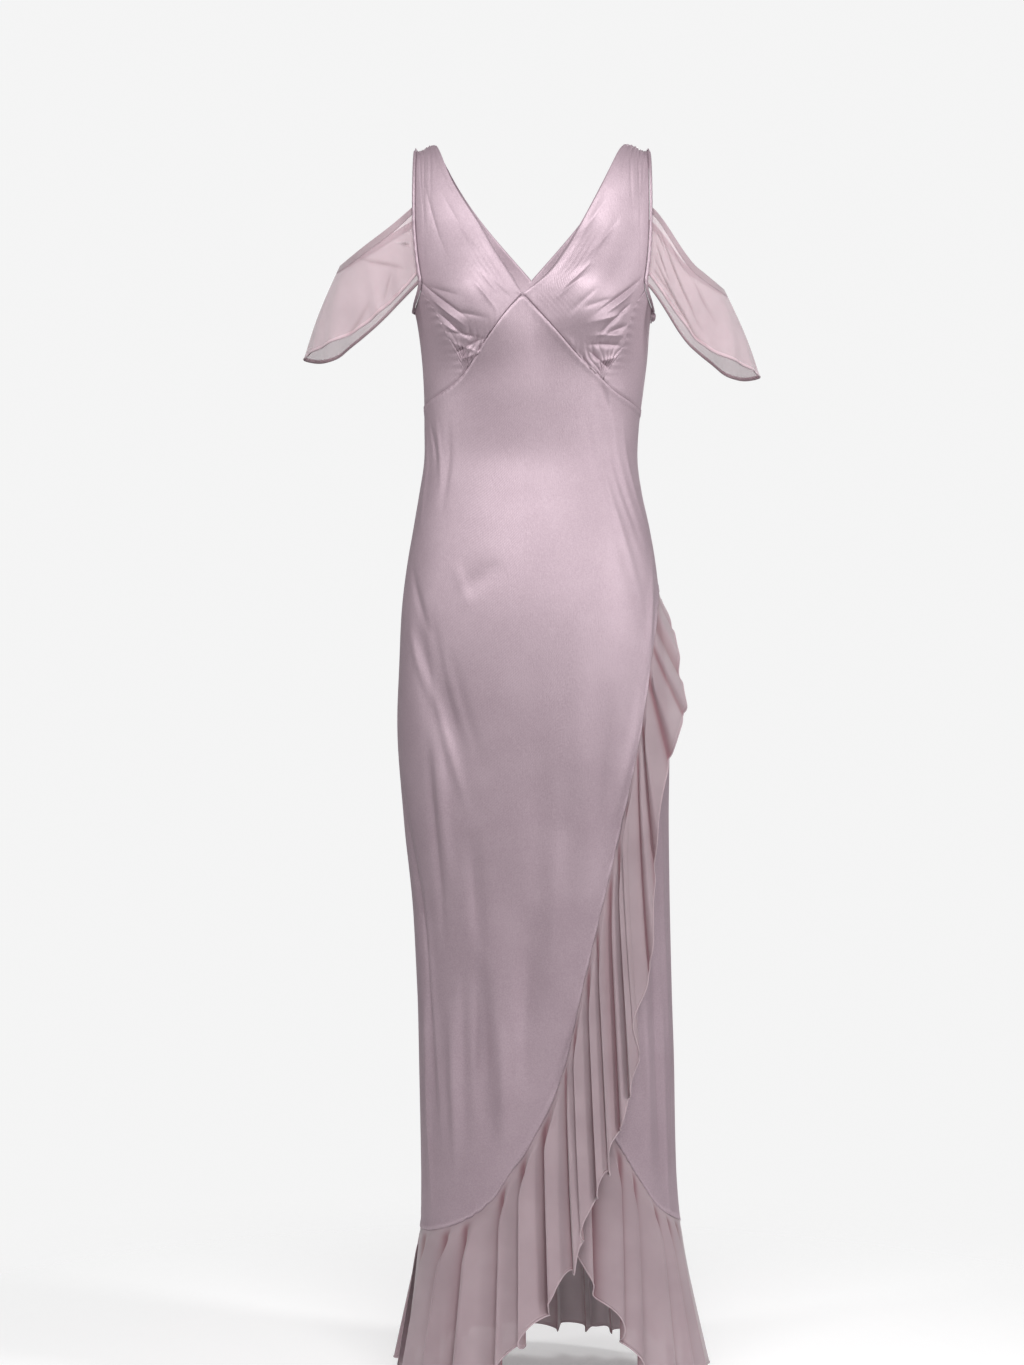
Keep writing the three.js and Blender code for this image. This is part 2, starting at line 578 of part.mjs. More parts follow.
// Sleeve and its bound top edge, open above and below; both ends follow the armhole edge.
function sleeve(side) {
  const sign = side === 'left' ? 1 : -1;
  const outwards = (p) => new THREE.Vector3(p.x * sign, p.y, p.z);
  const sewnAt = (back, drop) => {
    const angle = ARMHOLE.angle + 0.4;
    return outwards(skin(sign * (back ? 180 - angle : angle), drop));
  };
  const endRow = (end, back) => {
    const top = sewnAt(back, end.topDrop);
    const hem = sewnAt(back, end.hemDrop);
    const places = { topX: top.x, topY: top.y, hemX: hem.x, hemY: hem.y };
    return { ...places, topDrop: -top.z, hemDrop: -hem.z };
  };
  const all = [endRow(SLEEVE_FRONT_END, false), ...SLEEVE, endRow(SLEEVE_BACK_END, true)];
  const last = all.length - 1;
  const rows = all.map((row, i) => ({ ...row, place: i / last }));
  const between = (row, t) => new THREE.Vector3(
    mix(row.topX, row.hemX, t),
    mix(row.topY, row.hemY, t),
    -mix(row.topDrop, row.hemDrop, t),
  );
  const at = (place, t) => {
    const row = {};
    for (const column of Object.keys(SLEEVE[0])) row[column] = through(rows, 'place', column, place);
    const p = between(row, t);
    if (side === 'left') p.z -= LEFT_SLEEVE_SLIP * ease(141, 196, p.x) * (1 - 0.25 * t);
    const away = Math.hypot(p.x - SLEEVE_CENTRE.x, p.y - SLEEVE_CENTRE.y);
    const wave = SLEEVE_WAVES.height * t * Math.sin(2 * Math.PI * SLEEVE_WAVES.count * place);
    const grow = 1 + (Math.sin(Math.PI * place) * (wave + SLEEVE_BULGE * Math.sin(Math.PI * t))) / away;
    p.x = mix(SLEEVE_CENTRE.x, p.x, grow);
    p.y = mix(SLEEVE_CENTRE.y, p.y, grow);
    for (const [end, back, near] of [[SLEEVE_FRONT_END, false, place], [SLEEVE_BACK_END, true, 1 - place]]) {
      const pull = Math.max(1 - near * last, 0) ** 2;
      const edge = sewnAt(back, mix(end.topDrop, end.hemDrop, t));
      p.addScaledVector(edge.sub(between(all[back ? last : 0], t)), pull);
    }
    return new THREE.Vector3(p.x * sign, p.y, p.z);
  };
  const length = (place) => at(place, 0).distanceTo(at(place, 1));
  const across = side === 'left' ? fractions(24) : fractions(24).reverse();
  const band = grid(across, fractions(1), (u, v) => at(u, (v * SLEEVE_BAND) / length(u)));
  const body = grid(across, fractions(5), (u, v) => {
    const first = (SLEEVE_BAND + SEAM_GAP) / length(u);
    return at(u, mix(first, 1, v));
  });
  return { band: wall([band], CLOTH * 1.5), body: wall([body]) };
}

for (const side of ['right', 'left']) {
  add(`cup_${side}`, cup(side), satin);
  add(`side_bodice_${side}`, sideBodice(side), satin);
  add(`armhole_band_${side}`, armholeBand(side), satin);
  const parts = sleeve(side);
  add(`sleeve_${side}`, parts.body, georgette);
  add(`sleeve_band_${side}`, parts.band, georgette);
}

add('back_bodice', backBodice(), satin);
add('front_overlap', wall([grid(overlapAngles, fractions(18), overlapPoint)]), satin);

const underlapAngles = fractions(11).map((t) => mix(11, SIDE_FRONT, t));
add('front_underlap', wall([grid(underlapAngles, fractions(13), underlapPoint)]), satin);

const backAngles = fractions(22).map((t) => mix(180 - SIDE_FRONT, 180 + SIDE_FRONT, t));
add('back_skirt', wall([grid(backAngles, fractions(14), backSkirtPoint)]), satin);

const wrapDrop = (angle) => through(WRAP_SEAM, 'angle', 'drop', angle);
const underlapDrop = (angle) => through(UNDERLAP_SEAM, 'angle', 'drop', angle);
const backDrop = (angle) => mix(UNDERLAP_SEAM.at(-1).drop, WRAP_SEAM[0].drop, (angle - 90) / 180);
const onForm = () => 0;
const sideDepth = (angle) => underlapDepth(angle);

const wrapLine = seamLine(overlapAngles, overlapPoint, wrapDrop);
const underlapLine = seamLine(underlapAngles, underlapPoint, underlapDrop);
const backLine = seamLine(backAngles, backSkirtPoint, backDrop);
add('flounce_overlap', flounce(wrapLine, OVERLAP_FLOUNCE, OVERLAP_WAVES, 14, 6, onForm), georgette);
add('flounce_underlap', flounce(underlapLine, UNDERLAP_FLOUNCE, UNDERLAP_WAVES, 11, 5, sideDepth), georgette);
add('flounce_back', flounce(backLine, BACK_FLOUNCE, BACK_WAVES, 11, 4, onForm), georgette);

// Covered button and its fabric loop at the top of the left side opening.
const onSide = skin(BUTTON.angle, BUTTON.drop);
const outward = skin(BUTTON.angle, BUTTON.drop, 1).sub(onSide).normalize();
const dome = [
  [0, 0],
  [0.62, 0],
  [0.92, 0.2],
  [1, 0.48],
  [0.88, 0.76],
  [0.5, 0.96],
  [0, 1],
].map(([r, h]) => new THREE.Vector2(r * BUTTON.radius, h * BUTTON.height));
const button = add('side_button', new THREE.LatheGeometry(dome, 16), satin);
button.quaternion.setFromUnitVectors(new THREE.Vector3(0, 1, 0), outward);
button.position.copy(onSide).addScaledVector(outward, SEAM_GAP);
const loop = add('button_loop', new THREE.TorusGeometry(LOOP.radius, LOOP.thread, 6, 20), satin);
loop.quaternion.setFromUnitVectors(new THREE.Vector3(0, 0, 1), outward);
loop.position.copy(onSide).addScaledVector(outward, SEAM_GAP + LOOP.thread);

export default dress;
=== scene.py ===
"""Looks of a satin maxi dress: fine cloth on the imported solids, finishes, floor, light and camera.

Lengths are millimetres until a mesh is made, which is in metres. The origin is midway between the
straps on the shoulders, +X the wearer's left, -Y the front, +Z up. A drop is a distance below the
origin, and an angle is in degrees round the dress: 0 centre front, 90 left side, 180 centre back,
-90 right side.
"""

import bpy
import numpy as np
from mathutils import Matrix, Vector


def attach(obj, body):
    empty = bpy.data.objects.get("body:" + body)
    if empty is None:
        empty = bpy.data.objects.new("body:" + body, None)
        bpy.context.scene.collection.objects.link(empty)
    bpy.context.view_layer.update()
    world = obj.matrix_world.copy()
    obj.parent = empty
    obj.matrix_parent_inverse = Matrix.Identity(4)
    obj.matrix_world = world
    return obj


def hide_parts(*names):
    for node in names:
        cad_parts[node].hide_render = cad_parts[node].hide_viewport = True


MM = 0.001
WELD = 0.02
SIGN = {"right": -1, "left": 1}

# Thickness of each cloth, and radius of the rolled hems.
SATIN_CLOTH = 0.9
GEORGETTE_CLOTH = 0.5
BINDING_CLOTH = 1.6
BUTTON_CLOTH = 0.3
LOOP_CLOTH = 0.2
HEM_ROLL = {"flounce": 0.8, "sleeve": 0.9}

# Form of the dress and its seams.
LAP_DEPTH = 0.3
SHOULDER_ROUND = 100
SHOULDER_FALL = {"slope": 0.3, "start": 100, "reach": 45}
NECK_POINT = {"angle": -4, "drop": 195}
HEM_DROP = 1462
CUP_REACH = 30
CUP_APEX = {"x": 78, "drop": 215, "half": 50, "above": 85, "below": 45}
ARMHOLE = {"angle": 61, "straight": 170, "bottom": 196}
ARMHOLE_CURVE = 0.72
BAND_WIDTH = 8
BAND_ANGLE = 5
BAND_SEAM = 0.85
BACK_SEAM = {"side": 319, "centre": 300}
NECK_BACK = {"angle": 40, "drop": 150}
CUP_TIP = {"right": -33.5, "left": 34.5}
CUP_SEAM_START = 0.8
STRAP_ROWS = 190
BACK_ROWS = 110
BACK_NECK_SHARE = 0.56
WRAP_COVER = 40
UNDERLAP_DEPTH = {"front": 4, "side": 0.1}
FLARE_START = 1.3
SEAM_SAMPLES = 1200
TUCKED = 0.012
NARROW_FLUTE = {"degrees": 12, "lowest": 0.45}
SLEEVE_BAND = 9
SLEEVE_CENTRE = {"x": 165, "y": 2}
SLEEVE_BULGE = 4
SLEEVE_WAVES = {"count": 5, "height": 4}
LEFT_SLEEVE_SLIP = 28
BUTTON = {"angle": 86, "drop": 209, "radius": 5, "height": 5}
LOOP = {"radius": 7, "thread": 0.8}
SEAM_GAP = 0.4
CREASE_RADIUS = 150

# Seam strips of the skirt, from flat to raised, the stitches and their distance from the edges.
TURNED_UNDER = {"upper": (6.5, 4.5), "lower": (8.5, 6)}
STITCH = {"pitch": 3, "half_width": 0.24, "half_height": 0.3}
STITCHED = {"neck": 3.2, "armhole": 3.5, "upper": 2.4, "lower": 3.4}

SATIN_SHADE = (0.427, 0.321, 0.37)
SATIN_LIGHT = (0.501, 0.385, 0.438)
GEORGETTE_SHADE = (0.415, 0.318, 0.346)
GEORGETTE_LIGHT = (0.462, 0.359, 0.388)
# Painted shade: the darker georgette colour in the slots of its folds and along its creases, where
# the cloth also lies double.
GEORGETTE_FOLD_SHADE = (0.29, 0.15, 0.172)

# Studio, in metres but for below_hem. Each light: place, target, width and height, watts.
CAMERA = {"place": (-0.0238, -3.2, -0.6432), "lens": 70.9, "sensor": 36}
FLOOR = {"radius": 1.5, "fade": (0.4, 1.3), "below_hem": 26}
AMBIENT = 0.14
LIGHTS = {
    "key": ((-0.1, -1.9, 1.15), (0, 0, -0.35), (1.9, 0.7), 42),
    "front": ((0.3, -2.9, 0.5), (0, 0, -0.5), (1.6, 1.2), 21),
    "left_strip": ((-1.6, -0.9, 0), (0, 0, -0.4), (0.25, 1.2), 9),
    "right_strip": ((1.7, -0.9, -0.1), (0, 0, -0.5), (0.25, 1.2), 19),
    "back": ((0.2, 2.4, 0.5), (0, 0, -0.5), (1.4, 1.2), 30),
}


def named(columns, *rows):
    """A table as one array for each named column."""
    return dict(zip(columns.split(), np.array(rows, float).T))


# Girth of the dress: half widths to each side, depths to front and back, and how square it is.
RINGS = named(
    "drop right left front back square",
    (0, 150, 150, 80, 88, 0.3),
    (100, 150, 150, 82, 94, 0.3),
    (145, 148, 149, 90, 99, 0.26),
    (185, 143, 145, 97, 98, 0.2),
    (220, 136, 140, 96, 92, 0.14),
    (260, 131, 137, 94, 86, 0.11),
    (300, 128.5, 132, 92, 78, 0.1),
    (340, 128, 127, 88, 71, 0.1),
    (380, 128, 125.5, 86, 68, 0.1),
    (420, 134, 131, 90, 74, 0.1),
    (460, 141, 140, 96, 86, 0.1),
    (500, 148, 147, 102, 100, 0.1),
    (550, 154, 152, 108, 114, 0.1),
    (600, 157, 157, 110, 122, 0.1),
    (700, 160, 163, 108, 122, 0.1),
    (800, 153, 163, 104, 120, 0.09),
    (920, 140, 164, 101, 123, 0.08),
    (1060, 135, 168, 105, 132, 0.08),
    (1220, 132, 172, 112, 147, 0.08),
    (1295, 133, 177, 116, 155, 0.08),
    (1480, 148, 188, 136, 188, 0.08),
)

LINE = "angle1 drop1 angle2 drop2 width depth"

# Soft troughs in the satin where it drapes, from one end to the other, as on the solids.
CREASES = named(
    LINE,
    (-64, 520, -24, 810, 15, 4), (-52, 600, -18, 760, 13, 2.5), (-80, 750, -52, 1180, 20, 5),
    (-30, 930, -22, 1190, 17, 3.5), (-6, 850, -2, 1130, 20, 3), (30, 315, 60, 600, 20, 3),
    (112, 560, 150, 840, 17, 4), (252, 540, 214, 800, 17, 4), (172, 860, 178, 1230, 20, 4),
    (128, 900, 132, 1240, 20, 5), (222, 880, 226, 1240, 20, 5),
)

# Finer troughs, above 0, and ridges, below 0, of the satin.
DRAG_LINES = named(
    LINE,
    (-48, 547, -25, 767, 8, 2.4), (-50, 594, -26, 802, 6, -2), (-71, 499, -45, 594, 7, 2),
    (-66, 575, -39, 687, 7, -2.2), (-35, 600, -21, 732, 6, 1.8), (-13, 502, -33, 548, 12, 1.6),
    (-35, 500, -26, 560, 7, -1.3), (-41, 664, -40, 895, 9, -3.2), (-47, 690, -46, 960, 7, 2.2),
    (-26, 814, -25, 964, 9, 2.2), (-80, 740, -54, 1164, 9, 3), (-70, 1000, -60, 1276, 8, -2.4),
    (-62, 860, -49, 1200, 8, -2.6), (-42, 1012, -40, 1219, 8, -2.6), (-35, 960, -33, 1200, 8, 2),
    (-24, 952, -24, 1150, 11, 3.4), (-15, 1030, -13, 1192, 9, -2.4), (-1, 894, -6, 1123, 12, 3),
    (10, 813, 6, 1009, 11, -2.6), (4, 700, 0, 960, 12, 2), (20, 560, 16, 880, 12, -2),
    (33, 640, 22, 894, 10, 2.4), (28, 304, 59, 594, 8, -2.2), (33, 292, 44, 337, 5, 1.6),
    (40, 330, 62, 500, 7, 1.8), (52, 330, 72, 470, 7, -1.6), (-68, 334, -57, 394, 5, 1.4),
    (-60, 330, -50, 420, 6, -1.4), (-47, 325, -47, 454, 7, 1.6), (-78, 330, -66, 470, 8, -1.4),
    (31, 1180, 34, 1010, 8, 2), (52, 1240, 50, 960, 9, -2.8), (62, 1260, 60, 860, 9, 3),
    (74, 1270, 72, 760, 11, -2.6), (67, 980, 69, 1330, 3.6, -1.5), (74, 480, 49, 655, 8, -3),
    (53, 620, 32, 810, 8, -2.4), (100, 330, 118, 460, 9, 1.6), (140, 320, 128, 430, 9, -1.5),
    (180, 310, 180, 470, 14, 1.8), (226, 320, 238, 440, 9, 1.6), (256, 330, 246, 470, 9, -1.5),
    (104, 700, 112, 1200, 12, -3), (150, 720, 152, 1200, 12, -2.8), (164, 640, 162, 900, 10, 2),
    (196, 640, 200, 940, 10, 2.2), (204, 900, 204, 1240, 12, -3), (244, 760, 248, 1220, 12, 3.2),
    (262, 700, 258, 1180, 10, -2.4),
)

# Gathers of the cups, drawn in from the outer seam and from the under-bust seam beside it.
CUP_CREASES = {
    "right": named(
        LINE,
        (-60, 172, -28, 229, 2.6, 1.7), (-52, 196, -29, 238, 3, -1.3),
        (-50, 212, -31, 250, 3, 2.2), (-47, 226, -27, 254, 3, -1.8), (-46, 236, -22, 248, 3, 2.3),
        (-42, 249, -25, 262, 2.6, -1.8), (-41, 262, -19, 244, 2.8, 2.4),
        (-38, 270, -20, 258, 2.6, -2), (-35, 284, -19, 258, 2.6, 2),
        (-29, 288, -15, 249, 3, -1.4), (-26, 276, -17, 232, 2.4, 1.3),
        (-40, 215, -19, 225, 3.4, 1.2), (-55, 180, -30, 200, 4, 1), (-48, 53, -34, 157, 3.5, 1),
        (-37, 68, -20, 144, 4, 0.9), (-22, 165, -11, 206, 2.6, 0.8),
        (-26, 172, -15, 218, 2.6, -0.9), (-17, 178, -8, 204, 2.2, 0.8),
    ),
    "left": named(
        LINE,
        (56, 168, 24, 227, 2.8, 2), (50, 186, 31, 222, 3, -1.5), (49, 202, 29, 247, 2.8, 2.3),
        (48, 214, 22, 232, 3, -1.7), (49, 228, 29, 248, 2.8, 2.4), (47, 240, 24, 244, 2.8, -2),
        (46, 252, 23, 254, 2.6, 2.4), (44, 264, 27, 274, 2.6, -1.9), (39, 280, 24, 258, 2.6, 2.2),
        (33, 292, 22, 262, 2.8, -1.6), (27, 278, 17, 252, 2.6, 1.6),
        (22, 268, 14, 240, 2.6, -1.1), (36, 200, 20, 214, 3.6, 1.2), (11, 192, 23, 157, 2.8, 0.9),
        (8, 204, 20, 174, 2.4, -0.9), (14, 222, 28, 186, 3, 0.9), (21, 151, 35, 98, 3.6, 1),
        (15, 132, 30, 69, 4, 0.9),
    ),
}

# Folds where a strap is gathered at the shoulder: place across it, reach down it, slant, size.
STRAP_FOLDS = named(
    "place reach slant width depth",
    (0.12, 18, 0.003, 1.5, 1.1), (0.27, 34, 0.0034, 1.8, 1.8), (0.42, 22, 0.003, 1.6, 1.3),
    (0.55, 48, 0.002, 2.1, 2), (0.68, 20, 0.0008, 1.6, 1.4), (0.8, 38, -0.0006, 1.8, 2),
    (0.92, 16, -0.001, 1.4, 1),
)

UNDER_BUST = {
    "right": named(
        "angle drop",
        (-90, 316), (-68, 312), (-46, 299), (-34, 282), (-20, 243), (-11, 215), (-4, 195),
    ),
    "left": named(
        "angle drop",
        (-4, 195), (9, 234), (20.5, 265), (32, 287), (46, 306), (70, 319), (90, 322),
    ),
}
NECK_FRONT = named(
    "drop right left",
    (0, -42, 39.5), (8, -39.3, 36.6), (20, -37, 33.6), (51, -32, 27.6),
    (82, -25.4, 22), (112, -18.9, 16.8), (142, -13.9, 11.6), (171, -8.4, 5.2),
    (195, -4, -4),
)
CUP_SEAM = named(
    "drop right left",
    (185, -59, 58.5), (205, -53, 52), (230, -47.5, 49), (256, -41, 46), (287, -35, 36),
)
WRAP_SEAM = named(
    "angle drop",
    (-90, 1290), (-62, 1283), (-38, 1268), (-21, 1243), (-9, 1203), (0.5, 1167),
    (11, 1094), (18.5, 1001), (26, 918), (36, 816), (46, 713), (57, 625),
    (67, 578), (78, 546), (90, 532),
)
UNDERLAP_SEAM = named(
    "angle drop",
    (11, 1086), (19, 1122), (34.7, 1181), (44, 1217), (58, 1256), (90, 1284),
)
BACK_HEM_SEAM = named("angle drop", (90, 1284), (180, 1287), (270, 1290))

# Flounces: how far the cloth falls at each place along its seam, how it turns round the dress on
# the way, how far it stands off at its edge, and how high its waves are.
OVERLAP_FLOUNCE = named(
    "along fall turn lift wave",
    (0, HEM_DROP - 1290, 0, 0, 0), (0.1, 187, 2, 8, 20), (0.18, 200, 2, 14, 20),
    (0.28, 218, 1, 15, 20), (0.38, 236, 1, 14, 21), (0.47, 258, 1, 13, 20), (0.56, 284, 1, 11, 18),
    (0.65, 298, 1, 9, 15), (0.72, 290, 2, 7, 14), (0.77, 252, 4, 6, 12), (0.81, 150, 5, 5, 11),
    (0.85, 100, 8, 8, 9), (0.9, 80, 12, 18, 7), (0.96, 46, 7, 13, 4), (1, 12, 0, 2, 0),
)
UNDERLAP_FLOUNCE = named(
    "along fall turn lift wave",
    (0, 205, 2, 0, 6), (0.3, 215, -2, 1, 10), (0.55, 222, -4, 3, 14), (0.8, 190, 0, 12, 14),
    (1, HEM_DROP - 1284, 0, 22, 0),
)
BACK_FLOUNCE = named(
    "along fall turn lift wave",
    (0, HEM_DROP - 1284, 0, 22, 0), (0.12, 176, 0, 12, 20), (0.88, 174, 0, 4, 20),
    (1, HEM_DROP - 1290, 0, 0, 0),
)
OVERLAP_WAVES = {"count": 20, "uneven": 0.9, "lean": -3.2, "round": 1, "corner": 0.4}
UNDERLAP_WAVES = {"count": 7, "uneven": 0.8, "lean": 2.2, "round": 0.9, "corner": 0.4}
BACK_WAVES = {"count": 15, "uneven": 1, "lean": 1.8, "round": 0.9, "corner": 0.15}

# Sleeve from its front end round the arm to its back end: the bound top edge and the hem.
SLEEVE_COLUMNS = "top_x top_y top_drop hem_x hem_y hem_drop"
SLEEVE = (
    (166, -55, 109, 155, -60, 189),
    (198, -48, 132, 182, -65, 215),
    (220, -24, 145, 226, -50, 242),
    (229, 4, 147, 271, -4, 255),
    (218, 34, 134, 246, 46, 256),
    (186, 56, 110, 196, 66, 217),
)
# Creases of each sleeve: place round it and depth in it, from 0 to 1, of both ends.
SLEEVE_LINE = "place1 deep1 place2 deep2 width depth"
SLEEVE_CREASES = {
    "right": named(
        SLEEVE_LINE,
        (0.34, 0.06, 0.07, 0.8, 2, 1.8), (0.11, 0.32, 0.03, 0.52, 1.6, 3.2),
        (0.13, 0.28, 0.05, 0.44, 1.8, -2), (0.17, 0.6, 0.24, 0.92, 2.6, 1.2),
        (0.3, 0.75, 0.42, 1.05, 3, 1.6),
    ),
    "left": named(
        SLEEVE_LINE,
        (0.02, 0.7, 0.4, 1.02, 2.4, 3), (0.04, 0.2, 0.36, 0.86, 2.6, 2.2),
        (0.02, 0.45, 0.16, 0.74, 2, 2), (0.01, 0.88, 0.2, 0.86, 2.2, 1.8),
        (0.1, 0.14, 0.26, 0.3, 1.8, -1.6), (0.24, 0.2, 0.4, 0.62, 3, 1.4),
        (0.03, 0.3, 0.12, 0.42, 1.6, 1.6),
    ),
}
SLEEVE_ROUND = 330
SLEEVE_DEEP = 105
SLEEVE_ENDS = {"front": (84, 165), "back": (80, 158)}


def through(table, key, column, at):
    """Smooth curve through a table: cubic pieces whose slopes follow the neighbouring rows."""
    x = table[key]
    y = table[column]
    rows = np.arange(len(x))
    low = np.maximum(rows - 1, 0)
    high = np.minimum(rows + 1, len(x) - 1)
    slope = (y[high] - y[low]) / (x[high] - x[low])
    t = np.clip(at, x[0], x[-1])
    i = np.clip(np.searchsorted(x, t) - 1, 0, len(x) - 2)
    width = x[i + 1] - x[i]
    s = (t - x[i]) / width
    rise = y[i + 1] - y[i]
    m1 = slope[i] * width
    m2 = slope[i + 1] * width
    return y[i] + s * (m1 + s * (3 * rise - 2 * m1 - m2 + s * (m1 + m2 - 2 * rise)))


def mix(a, b, t):
    return a + (b - a) * t


def ease(low, high, at):
    """Smooth step from 0 at low to 1 at high."""
    t = np.clip((at - low) / (high - low), 0, 1)
    return t * t * (3 - 2 * t)


def bell(distance, reach):
    return np.exp(-((distance / reach) ** 2))


def trough(creases, angle, drop, power=2.0):
    """Sum of troughs: exp(-|off / width| ^ power) across each line, a soft bell at 2 and sharper
    below it, rising and falling as a sine along the line."""
    turned = np.where(angle < -90.001, angle + 360, angle)
    total = np.zeros(np.broadcast(angle, drop).shape)
    for angle1, drop1, angle2, drop2, width, depth in zip(*creases.values()):
        dx = np.radians(angle2 - angle1) * CREASE_RADIUS
        dy = drop2 - drop1
        px = np.radians(turned - angle1) * CREASE_RADIUS
        py = drop - drop1
        t = np.clip((px * dx + py * dy) / (dx * dx + dy * dy), 0, 1)
        off = (px * dy - py * dx) / np.hypot(dx, dy)
        total += depth * np.exp(-np.abs(off / width) ** power) * np.sin(np.pi * t) ** 1.2
    return total


def form(angle, drop):
    """Outer form: a squared oval at each drop, closed over the shoulders by a quarter ellipse,
    with the fullness of the two cups and the creases of the cloth."""
    angle, drop = np.broadcast_arrays(np.asarray(angle, float), np.asarray(drop, float))
    s = np.sin(np.radians(angle))
    c = np.cos(np.radians(angle))
    right, left, front, back, square = (
        through(RINGS, "drop", column, drop) for column in list(RINGS)[1:]
    )
    width = np.where(s < 0, right, left)
    deep = np.where(c > 0, front, back)
    up = np.maximum(1 - drop / SHOULDER_ROUND, 0)
    closing = np.sqrt(np.maximum(1 - up * up, 0))
    x = width * s * (1 + square * c * c)
    spread = np.where(drop < CUP_APEX["drop"], CUP_APEX["above"], CUP_APEX["below"])
    across = bell(np.abs(x) - CUP_APEX["x"], CUP_APEX["half"])
    cup_fullness = CUP_REACH * np.maximum(c, 0) * across * bell(drop - CUP_APEX["drop"], spread)
    crease = trough(CREASES, angle, drop)
    y = -deep * closing * c * (1 + square * s * s) - cup_fullness * closing
    beyond = np.maximum(np.abs(x) - SHOULDER_FALL["start"], 0)
    fall = SHOULDER_FALL["slope"] * beyond * np.exp(-drop / SHOULDER_FALL["reach"])
    return np.stack([x - crease * s, y + crease * c, -drop - fall], axis=-1)


def unit(vectors):
    return vectors / np.maximum(np.linalg.norm(vectors, axis=-1, keepdims=True), 1e-9)


def outward(angle, drop):
    around = form(angle + 0.5, drop) - form(angle - 0.5, drop)
    down = form(angle, drop + 1) - form(angle, np.maximum(drop - 1, 0))
    return unit(np.cross(down, around))


def skin(angle, drop, lift=0.0):
    """The outer form moved out along its normal by lift."""
    lift = np.broadcast_to(lift, np.broadcast(angle, drop).shape)
    return form(angle, drop) + lift[..., None] * outward(angle, drop)


def satin_relief(angle, drop):
    """Fine drape of the satin: listed drag lines and a faint unevenness all over."""
    x = np.radians(angle) * CREASE_RADIUS
    slow = 0.35 * np.sin(x / 19 + 2.1 * np.sin(drop / 83)) * np.sin(drop / 47 + x / 61)
    drape = trough(DRAG_LINES, angle, drop) * (1 + 0.6 * ease(620, 800, drop))
    return slow * ease(300, 380, drop) - drape


def pucker(along, distance, pitch, height, reach):
    """Ripples that a seam draws into the cloth: uneven waves along it that fade with distance."""
    wave = np.sin(2 * np.pi * along / pitch + 1.6 * np.sin(along / (2.7 * pitch)))
    return height * wave * np.exp(-np.abs(distance) / reach)


def tucked_under(below):
    """Depth of an edge under the piece below it, over the last few millimetres to their seam."""
    return (LAP_DEPTH + 0.2) * ease(3.2, 0.6, below)


def drop_at(seam, angle):
    return through(seam, "angle", "drop", angle)


def under_bust(angle):
    halves = [drop_at(UNDER_BUST[side], angle) for side in SIGN]
    return np.where(angle < NECK_POINT["angle"], *halves)


def armhole_edge(t, inset=0.0):
    """Armhole from the shoulder, t 0, straight down and then a quarter ellipse to the underarm."""
    angle = ARMHOLE["angle"] - inset * BAND_ANGLE
    bottom = ARMHOLE["bottom"] + inset * BAND_WIDTH
    a = np.clip((t - ARMHOLE_CURVE) / (1 - ARMHOLE_CURVE), 0, 1) * np.pi / 2
    straight = ARMHOLE["straight"] * np.minimum(t / ARMHOLE_CURVE, 1) ** 2
    curved = mix(ARMHOLE["straight"], bottom, np.sin(a))
    return 90 - (90 - angle) * np.cos(a), np.where(t < ARMHOLE_CURVE, straight, curved)


def rows_of(count):
    return np.linspace(0, 1, count)[:, None]


def columns_of(count):
    return np.linspace(0, 1, count)[None, :]


def lengths_along(path):
    return np.append(0, np.cumsum(np.linalg.norm(np.diff(path, axis=0), axis=1)))


def metres_across(points):
    """UV of a grid: true lengths along its middle row and its middle column, in metres."""
    row = points[points.shape[0] // 2]
    column = points[:, points.shape[1] // 2]
    u, v = np.meshgrid(lengths_along(row), lengths_along(column))
    return np.stack([u, v], axis=-1) * MM


def make_mesh(name, points, triangles, uv=None, **values):
    """A mesh from arrays of points in millimetres and triangles, with its UV and attributes."""
    mesh = bpy.data.meshes.new(name)
    mesh.vertices.add(len(points))
    mesh.vertices.foreach_set("co", (points * MM).astype(np.float32).ravel())
    mesh.loops.add(triangles.size)
    mesh.loops.foreach_set("vertex_index", triangles.ravel())
    mesh.polygons.add(len(triangles))
    mesh.polygons.foreach_set("loop_start", np.arange(0, triangles.size, 3))
    mesh.polygons.foreach_set("use_smooth", np.ones(len(triangles), bool))
    mesh.update(calc_edges=True)
    if uv is not None:
        layer = mesh.uv_layers.new(name="cloth")
        layer.data.foreach_set("uv", uv.astype(np.float32).ravel())
    for label, numbers in values.items():
        attribute = mesh.attributes.new(label, "FLOAT", "POINT")
        attribute.data.foreach_set("value", numbers.astype(np.float32))
    mesh.validate()
    return mesh


def shown(name, mesh, finish, nodes):
    """The mesh as a piece of the dress that stands for its CAD nodes."""
    mesh.materials.append(finish)
    piece = bpy.data.objects.new(name, mesh)
    bpy.context.scene.collection.objects.link(piece)
    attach(piece, "root")
    if nodes:
        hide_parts(*nodes)
    return piece


